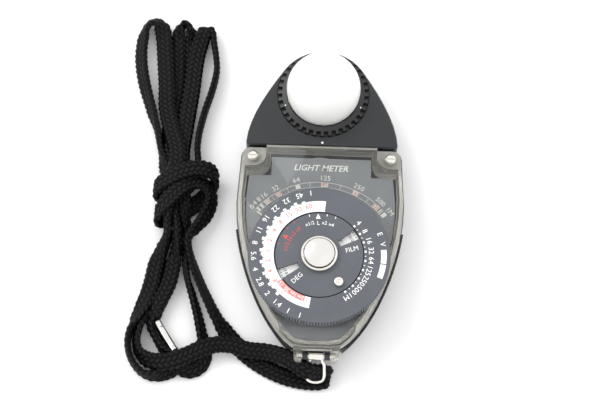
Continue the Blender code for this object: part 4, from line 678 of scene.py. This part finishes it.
def scale_plate_print(white, red):
    """The light scale round the dial, and its name above it."""
    plate = corners("scale_plate")[1].z
    inner, outer = LIGHT_BAND
    ink, tint = bmesh.new(), bmesh.new()
    for value, angle in LIGHT_SCALE:
        round_letters(ink, value, 2.6, LIGHT_NUMBERS, angle, plate)
    for angle in (97.4, 113.7, 125.6, 76, 54.9):
        mark(ink, inner, outer, angle, 0.14, plate)
    sector(ink, outer - RAIL_WIDTH, outer, 47, 142, plate)
    sector(ink, inner, inner + 0.8 * RAIL_WIDTH, 40, 142, plate)
    for start, stop in LIGHT_BLOCKS:
        sector(ink, inner, outer, start, stop, plate)
    for angle in (42, 43.3):
        mark(ink, inner, outer, angle, 0.3, plate)
    for value, angle in RED_SCALE:
        round_letters(tint, value, 1.9, RED_NUMBERS, angle, plate + PRINT_RISE)
    letters(ink, "LIGHT METER", 3.1, NAME_PLACE, 0, plate, lean=0.25, weight=0.06)
    printed("light_scale_print", ink, white, "root")
    printed("light_scale_red_print", tint, red, "root")


DISC_RECESS = 1.8  # from the dial's face down to the floor that the disc lies on
STOPS = ["45", "32", "22", "16", "11", "8", "5.6", "4", "2.8", "2", "1.4"]
FIRST_STOP, STOP_STEP = 109.3, 12.28
SPEED_BAND = (15.5, 19.3)  # the white crescent, as radii
SPEEDS = ["60", "30", "15", "8", "4", "2", "1", "2", "4", "8"]
LONG_SPEEDS = ["15", "30", "1m", "2m"]
VALUE_BAND = (21, 22.9)  # the two white tablets at the rim, as radii
LIGHT_VALUES = [("4", 41.8), ("8", 30.2), ("16", 18.4), ("32", 6.4), ("64", -5), ("125", -17),
                ("250", -30), ("500", -43), ("1M", -55.4)]
VALUE_STEP = 12.1
FILM_SPEEDS = ["6", "12", "25", "50", "100", "200", "400", "800"]
FILM_STEP = 8


def stops_and_speeds(ink, tint, blush, dark, face):
    """The lens stops along the rim, and the crescent of shutter speeds inside them."""
    inner, outer = SPEED_BAND
    for i, value in enumerate(STOPS):
        round_letters(ink, value, 2.65, 22.35, FIRST_STOP + STOP_STEP * i, face, tops_out=False)
    for angle in (98.9, 243.8, 254.6):
        mark(ink, 21.5, 23.3, angle, 0.28, face)
    sector(ink, inner, outer, 84.5, 261, face)
    for i in range(30):  # a stop's three parts: a short step, a black tick, a long step
        angle = FIRST_STOP - 6 + STOP_STEP / 3 * (i + 1)
        if i % 3 == 1:
            mark(dark, outer - 0.4, outer, angle, 0.35, face + PRINT_RISE)
        else:
            mark(ink, outer - 0.05, outer + (1.0 if i % 3 == 2 else 0.5), angle, 1.1, face)
    for i, value in enumerate(SPEEDS):
        round_letters(tint, value, 2.4, 17.5, 103 + 12.3 * i, face + PRINT_RISE)
    sector(blush, inner, 17.4, 216, 254, face + PRINT_RISE)
    for i, value in enumerate(LONG_SPEEDS):
        round_letters(ink, value, 1.9, 16.4, 220.5 + 9.6 * i, face + 2 * PRINT_RISE)


def value_scales(ink, face):
    """The light values round the disc, and the exposure value tablets at the rim."""
    for value, angle in (("E", 21.4), ("V", 11.6)):
        round_letters(ink, value, 2.6, 21.9, angle, face)
    for start, stop in ((-6.6, 6.2), (-20.4, -7.6)):
        sector(ink, *VALUE_BAND, start, stop, face)
    for value, angle in LIGHT_VALUES:
        round_letters(ink, value, 2.6, 17.65, angle, face)
    for i in range(9):
        mark(ink, 15.45, 16.1, 42 - VALUE_STEP * i, 0.75, face)
        if i < 8:
            mark(ink, 15.5, 15.95, 36 - VALUE_STEP * i, 0.28, face)


def window_scales(ink, dark, floor):
    """White fields on the dial's floor, with the film speeds that the disc's windows show."""
    print_top = floor + PRINT_RISE
    for start, stop in ((0, 64), (178, 240)):
        sector(ink, 7.4, 14.9, start, stop, floor)
    for i, value in enumerate(FILM_SPEEDS):
        round_letters(dark, value, 1.5, 12.6, 60 - FILM_STEP * i, print_top)
        round_letters(dark, str(9 + 3 * i), 1.5, 12.6, 236 - FILM_STEP * i, print_top)
    for i in range(16):
        mark(dark, 14, 14.7, 62 - FILM_STEP / 2 * i, 0.18, print_top)
        mark(dark, 14, 14.7, 238 - FILM_STEP / 2 * i, 0.18, print_top)
    for i, value in enumerate(("10", "20", "40", "80")):
        round_letters(dark, value, 1.1, 9.4, 52 - 14 * i, print_top)


def dial_print(white, red, pink, black):
    """All that is printed on the outer dial, one piece for each ink."""
    face = corners("dial_ring")[1].z
    ink, tint, blush, dark = bmesh.new(), bmesh.new(), bmesh.new(), bmesh.new()
    stops_and_speeds(ink, tint, blush, dark, face)
    value_scales(ink, face)
    window_scales(ink, dark, face - DISC_RECESS)
    printed("dial_print", ink, white, "dial")
    printed("dial_red_print", tint, red, "dial")
    printed("dial_pink_print", blush, pink, "dial")
    printed("dial_black_print", dark, black, "dial")


LOW_POINTER, HIGH_POINTER = 93, 152.6
MULTIPLIERS = [("x1/2", 14.6), ("x2", -10.6), ("x4", -22.6)]  # with the swing from their pointer


def speed_disc_print(white, red):
    """The disc's two pointers with their multipliers, and names for its two windows."""
    face = corners("speed_disc")[1].z
    ink, tint = bmesh.new(), bmesh.new()
    pointer_mark(ink, 14.75, 12.9, LOW_POINTER - 0.1, 0.85, face)
    pointer_mark(tint, 14.3, 12.5, HIGH_POINTER - 0.1, 0.85, face)
    for angle in (105, 80.6, 68.6):
        mark(ink, 14, 14.8, angle, 0.26, face)
    for angle in (140.6, 128.2, 165.6):
        mark(tint, 14, 14.8, angle, 0.22, face)
    for mesh, base in ((ink, LOW_POINTER), (tint, HIGH_POINTER)):
        for value, swing in MULTIPLIERS:
            round_letters(mesh, value, 1.8, 11.5, base + swing, face)
    round_letters(ink, "L", 2.1, 11.3, LOW_POINTER, face)
    round_letters(tint, "H", 2.3, 11.3, HIGH_POINTER, face)
    letters(ink, "FILM", 2.3, polar(11.3, 11.4), 16, face)
    letters(ink, "DEG", 2.3, polar(11.2, 229.6), 45, face)
    printed("speed_disc_print", ink, white, "speed_dial")
    printed("speed_disc_red_print", tint, red, "speed_dial")


# ---- dial, disc and button ----

KNURL_TEETH = 150
KNURL_DEPTH = 0.5
POST_BORE = 3.35  # radius of the hole that the post passes through
DISC_POCKET = 15.3  # radius of the dial's sunk floor
DISC_RIM = 14.95
WINDOWS = ((24, 39), (201, 216))  # the disc's two openings, in degrees
WINDOW_FOOT = 7.9  # the radius that they start from


def dial(looks):
    """The calculator dial: a flat face with a sunk floor for the disc, and a knurled edge."""
    low, high = corners("dial_ring")
    foot, top, edge = low.z, high.z, high.x
    profile = [(POST_BORE, foot), (edge - 0.5, foot), (edge, foot + 0.3), (edge, top - 0.5),
               (edge - 0.25, top - 0.16), (edge - 0.45, top), (DISC_POCKET, top),
               (DISC_POCKET, top - DISC_RECESS), (POST_BORE, top - DISC_RECESS)]
    mesh = spun(profile, steps=3 * KNURL_TEETH)
    for vertex in mesh.verts:
        reach = math.hypot(vertex.co.x, vertex.co.y)
        cut = round(math.atan2(vertex.co.y, vertex.co.x) / (2 * math.pi) * 3 * KNURL_TEETH)
        if reach > edge - 0.05 and cut % 3 == 0:
            vertex.co.xy *= (edge - KNURL_DEPTH) / reach
    for face in mesh.faces:  # the teeth's crowns take a paler finish: wear, and a painted highlight for their glints
        face.material_index = all(vertex.co.xy.length > edge - 0.05 for vertex in face.verts)
    made = piece("calculator_dial", mesh, looks["dial_black"], "dial", ["dial_ring"], sharp=24)
    made.data.materials.append(looks["painted_glint"])


def speed_disc(looks):
    """The film speed disc, with two windows that open to its rim."""
    low, high = corners("speed_disc")
    mesh = bmesh.new()
    points = [mesh.verts.new((radius, 0, high.z))
              for radius in (POST_BORE, WINDOW_FOOT, DISC_RIM - 0.25, DISC_RIM)]
    edges = [mesh.edges.new(pair) for pair in zip(points, points[1:])]
    bmesh.ops.spin(mesh, geom=points + edges, cent=(0, 0, 0), axis=(0, 0, 1), angle=2 * math.pi, steps=120,
                   use_merge=True)
    bmesh.ops.remove_doubles(mesh, verts=mesh.verts, dist=0.001)
    opened = []
    for face in mesh.faces:
        middle = face.calc_center_median()
        angle = math.degrees(math.atan2(middle.y, middle.x)) % 360
        if middle.xy.length > WINDOW_FOOT and any(start < angle < stop for start, stop in WINDOWS):
            opened.append(face)
    bmesh.ops.delete(mesh, geom=opened, context="FACES")
    lowered = bmesh.ops.extrude_face_region(mesh, geom=list(mesh.faces))["geom"]
    bmesh.ops.translate(mesh, verts=[part for part in lowered if isinstance(part, bmesh.types.BMVert)],
                        vec=(0, 0, low.z - high.z))
    bmesh.ops.recalc_face_normals(mesh, faces=mesh.faces)
    piece("film_speed_disc", mesh, looks["dial_black"], "speed_dial", ["speed_disc"])


def speed_knob(looks):
    """The small dished pin that turns the disc."""
    low, high = corners("speed_pin")
    middle = (low + high) / 2
    radius, foot, top = (high.x - low.x) / 2, low.z, high.z
    pin = [(0, top - 0.12), (0.45, top - 0.12), (0.55, top - 0.3), (0.75, top - 0.3), (0.85, top - 0.05),
           (1.2, top), (radius - 0.12, top - 0.12), (radius, top - 0.35), (radius, top - 1.1),
           (1.0, top - 1.3), (1.0, foot), (0, foot)]
    piece("speed_knob", spun(pin, middle.xy, 48, closed=False), looks["bright_metal"], "speed_dial",
          ["speed_pin"])


def centre_button(looks):
    """The domed button in its polished bezel."""
    low, high = corners("button_bezel")
    foot, top, edge = low.z, high.z, high.x
    stem_hole, seat = 1.6, foot + 0.25
    bezel = [(stem_hole, foot), (edge - 0.25, foot), (edge, foot + 0.3), (edge, foot + 0.8),
             (edge - 0.12, top - 0.25), (edge - 0.35, top - 0.03), (edge - 0.6, top), (edge - 0.8, top - 0.1),
             (edge - 0.92, top - 0.4), (edge - 0.95, seat), (stem_hole, seat)]
    piece("polished_bezel", spun(bezel), looks["bright_metal"], "root", ["button_bezel"])
    low, high = corners("button_cap")
    top, edge = high.z, (high.x - low.x) / 2
    rise, stem = 1.25, 1.15
    skirt, under = top - 1.9, top - 1.5  # the pressed button stays clear of its seat and its post
    crown = [(edge * math.sin(a), top - rise * (1 - math.cos(a))) for a in np.radians(np.arange(0, 90, 7.5))]
    cap = [*crown, (edge, top - 1.4), (edge, top - 1.75), (edge - 0.15, skirt), (edge - 0.6, skirt),
           (edge - 0.8, under), (stem, under), (stem, low.z), (0, low.z)]
    piece("domed_button", spun(cap, closed=False), looks["button"], "button", ["button_cap"])


# ---- head ----

GRIP_NOTCHES = 36
DOME_WALL = 1.1
INDEX_PLACE = (0.1, 44.2)


def dome_ring(looks):
    """The bayonet ring: a smooth sloping band inside, and square notches for grip round it."""
    low, high = corners("dome_ring")
    middle = (low + high) / 2
    outer, foot, top = (high.x - low.x) / 2, low.z, high.z
    step, inner = foot + 0.9, outer - 3.35
    profile = [(inner - 0.15, foot), (inner - 0.15, foot + 1.2), (inner + 0.1, top - 0.05),
               (inner + 0.35, top), (outer - 1.75, top - 0.55), (outer - 1.5, top - 0.6),
               (outer - 1.25, top - 0.7),
               (outer - 0.45, top - 1.0), (outer - 0.1, top - 1.15), (outer, top - 1.35), (outer, step),
               (outer - 2.5, step), (outer - 2.5, foot)]
    steps = 10  # of each notch and the tooth beside it
    mesh = spun(profile, middle.xy, steps * GRIP_NOTCHES)
    for vertex in mesh.verts:
        run = vertex.co - middle
        cut = round(math.degrees(math.atan2(run.y, run.x))) % steps
        if run.xy.length > outer - 1.3 and vertex.co.z > step + 0.1 and cut in (3, 4, 5, 6, 7):
            vertex.co.z = step + 0.25
    piece("notched_ring", mesh, looks["black_plastic"], "diffuser", ["dome_ring"])


def opal_dome(looks):
    """The thin-walled dome: a sphere cut off below the head's face."""
    low, high = corners("diffuser_dome")
    middle = (low + high) / 2
    radius = (high.x - low.x) / 2
    centre = high.z - radius
    last = math.acos((low.z - centre) / radius)
    arc = [last * i / 24 for i in range(25)]
    outer = [(radius * math.sin(a), centre + radius * math.cos(a)) for a in arc]
    inside = radius - DOME_WALL
    inner = [(inside * math.sin(a), centre + inside * math.cos(a)) for a in reversed(arc)]
    piece("opal_dome", spun([*outer, *inner], middle.xy, 96, closed=False), looks["diffuser_white"],
          "diffuser", ["diffuser_dome"])


def dot(mesh, radius, height, at, segments):
    """Adds a round painted dot."""
    bmesh.ops.create_cone(mesh, cap_ends=True, segments=segments, radius1=radius, radius2=radius,
                          depth=height, matrix=Matrix.Translation(at))


def index_dots(looks):
    """The white index marks on the head and on the dome's ring."""
    face = corners("head_front_shell")[1].z
    mesh = bmesh.new()
    dot(mesh, 0.42, 0.08, (*INDEX_PLACE, face), 24)
    piece("index_dot", mesh, looks["needle_white"], "head")
    low, high = corners("diffuser_dome")
    middle, ring_top = (low + high) / 2, corners("dome_ring")[1].z
    mesh = bmesh.new()
    for angle in (-158, -22):
        x, y = polar(14.3, angle)
        dot(mesh, 0.26, 0.3, (x, middle.y + y, ring_top - 0.1), 16)
    piece("ring_dots", mesh, looks["needle_white"], "diffuser")


# ---- clear cover ----

FLANGE_Y, FLANGE_TOP = 33.2, 16.5  # the stepped corners round the screws
DECK_FOOT = 14  # what lies level above this height is polished
MOULDED_EDGE = 0.22


def cover(looks):
    """The moulded cover: polished on its deck, and satin on its walls, which catch the light."""
    mesh = bmesh.new()
    mesh.from_mesh(frame["nodes"]["clear_cover"].data)
    mesh.transform(TO_FRAME.inverted())
    bmesh.ops.remove_doubles(mesh, verts=mesh.verts, dist=0.002)
    bmesh.ops.dissolve_limit(mesh, angle_limit=math.radians(1), verts=mesh.verts, edges=mesh.edges)
    for face in mesh.faces:
        middle = face.calc_center_median()
        flange = middle.y > FLANGE_Y and middle.z < FLANGE_TOP
        polished = abs(face.normal.z) > 0.8 and middle.z > DECK_FOOT and not flange
        face.material_index = 0 if polished else 1
    made = piece("moulded_cover", mesh, looks["clear_acrylic"], "root", ["clear_cover"])
    made.data.materials.append(looks["satin_acrylic"])
    rounding = made.modifiers.new("moulded_edges", "BEVEL")
    rounding.width = MOULDED_EDGE * MM
    rounding.segments = 2
    rounding.limit_method = "ANGLE"
    rounding.angle_limit = math.radians(40)
    rounding.material = 1


# ---- strap ring, ferrule and grip ribs ----

def wire(points, radius):
    """A bmesh of round wire along points, with its ends closed."""
    curve = bpy.data.curves.new("wire", "CURVE")
    curve.dimensions = "3D"
    curve.bevel_depth, curve.bevel_resolution, curve.use_fill_caps = radius, 4, True
    curve.resolution_u = 6
    spline = curve.splines.new("BEZIER")
    spline.bezier_points.add(len(points) - 1)
    for knot, point in zip(spline.bezier_points, points):
        knot.co = point
        knot.handle_left_type = knot.handle_right_type = "AUTO"
    holder = bpy.data.objects.new("wire", curve)
    drawn = bpy.data.meshes.new_from_object(holder)
    mesh = bmesh.new()
    mesh.from_mesh(drawn)
    bpy.data.objects.remove(holder)
    bpy.data.curves.remove(curve)
    bpy.data.meshes.remove(drawn)
    return mesh


BAR_PLACE = (0, -32.3, 12.0)
RING_TILT = math.radians(50.3)
RING_HALF_WIDTH, RING_REACH, RING_WIRE = 2.9, 10.8, 0.6
BEND_START = -8.9  # where along the leg the end's bend begins


def strap_ring(looks):
    """The bent wire loop with its rolled barrel, hanging from the bar to the table."""
    half, depth = RING_HALF_WIDTH, RING_REACH + BEND_START
    bend = [(half * math.cos(a), BEND_START - depth * math.sin(a), 0)
            for a in np.radians(np.arange(0, 181, 22.5))]
    legs = [(1.9, -1.1, 0), (2.05, -2.0, 0), (2.7, -3.3, 0), (half, -5.5, 0)]
    mesh = wire([*legs, *bend, *((-x, y, z) for x, y, z in reversed(legs))], RING_WIRE)
    barrel = spun([(0.97, -2.5), (1.2, -2.5), (1.35, -2.3), (1.35, 2.3), (1.2, 2.5), (0.97, 2.5)], steps=40)
    barrel.transform(Matrix.Rotation(math.radians(90), 4, "Y"))
    rolled = bpy.data.meshes.new("rolled")
    barrel.to_mesh(rolled)
    barrel.free()
    mesh.from_mesh(rolled)
    bpy.data.meshes.remove(rolled)
    mesh.transform(Matrix.Translation(BAR_PLACE) @ Matrix.Rotation(RING_TILT, 4, "X"))
    bmesh.ops.recalc_face_normals(mesh, faces=mesh.faces)
    piece("wire_ring", mesh, looks["bright_metal"], "strap_loop", ["strap_ring"])


FERRULE_CENTRE = (-52.0, -24.6, 2.9)
FERRULE_TURN = math.radians(33)
FERRULE_HALF_SIZE = (1.8, 1.95)  # across, and upright


def ferrule(looks):
    """The drawn sleeve that joins the cord's ends: rolled lips and two shallow crimps."""
    stations = [(-5.2, 0.8), (-5.9, 0.84), (-6.0, 0.92), (-5.85, 1.0), (-5.2, 0.98), (-3.6, 0.97),
                (-3.0, 0.93), (-2.4, 0.97), (0, 0.98), (2.4, 0.97), (3.0, 0.93), (3.6, 0.97), (5.2, 0.98),
                (5.85, 1.0), (6.0, 0.92), (5.9, 0.84), (5.2, 0.8)]
    mesh = spun([(scale, y) for y, scale in stations], steps=48)
    half_width, half_height = FERRULE_HALF_SIZE
    flat = Matrix.Diagonal((half_width, 1, half_height, 1)) @ Matrix.Rotation(math.radians(90), 4, "X")
    mesh.transform(Matrix.Translation(FERRULE_CENTRE) @ Matrix.Rotation(FERRULE_TURN, 4, "Z") @ flat)
    bmesh.ops.recalc_face_normals(mesh, faces=mesh.faces)
    return piece("cord_sleeve", mesh, looks["polished"], "root", ["cord_ferrule"])


RIB_PITCH = 0.85
RIB_SIZE = (1.7, 0.46, 10.4)
RIB_MIDDLE = 7.6
RIBS_FROM = 12  # along Y
DRAW_IN = 1.6  # how far the side draws in towards its foot


def side_curve(count=200):
    """Points down the case's right side, from the hip to the foot, and the way out at each."""
    hip = corners("rear_case")[1].x
    knots = [Vector((hip, 21.8, 0)), Vector((hip, 0.8, 0)), Vector((17.9, -24.4, 0)),
             Vector((8.5, -30.1, 0))]
    points = interpolate_bezier(*knots, count)
    outs = []
    for i, point in enumerate(points):
        run = points[min(i + 1, count - 1)] - points[max(i - 1, 0)]
        outs.append(Vector((-run.y, run.x, 0)).normalized())
    return points, outs


def grip_ribs(looks):
    """Short upright ribs along both lower sides of the case."""
    points, outs = side_curve()
    mesh = bmesh.new()
    gone = RIB_PITCH
    for i in range(1, len(points) - 8):
        gone += (points[i] - points[i - 1]).length
        if gone < RIB_PITCH or points[i].y > RIBS_FROM:
            continue
        gone = 0
        for side in (1, -1):
            at = Vector((side * points[i].x, points[i].y, RIB_MIDDLE))
            out = Vector((side * outs[i].x, outs[i].y, 0))
            angle = math.atan2(out.y, out.x)
            place = Matrix.Translation(at - out * 0.25) @ Matrix.Rotation(angle, 4, "Z")
            rib = bmesh.ops.create_cube(mesh, size=1, matrix=place @ Matrix.Diagonal((*RIB_SIZE, 1)))
            for vertex in rib["verts"]:  # the ribs follow the side as it draws in underneath
                if vertex.co.z < RIB_MIDDLE:
                    vertex.co -= out * DRAW_IN
    piece("grip_ribs", mesh, looks["black_plastic"], "root")


# ---- making it all ----

camera()
studio()
looks = finishes()
neck_cord(ferrule(looks))
dress_frame(looks)
dial(looks)
speed_disc(looks)
speed_knob(looks)
centre_button(looks)
dome_ring(looks)
opal_dome(looks)
index_dots(looks)
cover(looks)
strap_ring(looks)
grip_ribs(looks)
scale_plate_print(looks["white_ink"], looks["red_ink"])
dial_print(looks["white_ink"], looks["red_ink"], looks["pink_ink"], looks["black_ink"])
speed_disc_print(looks["white_ink"], looks["red_ink"])
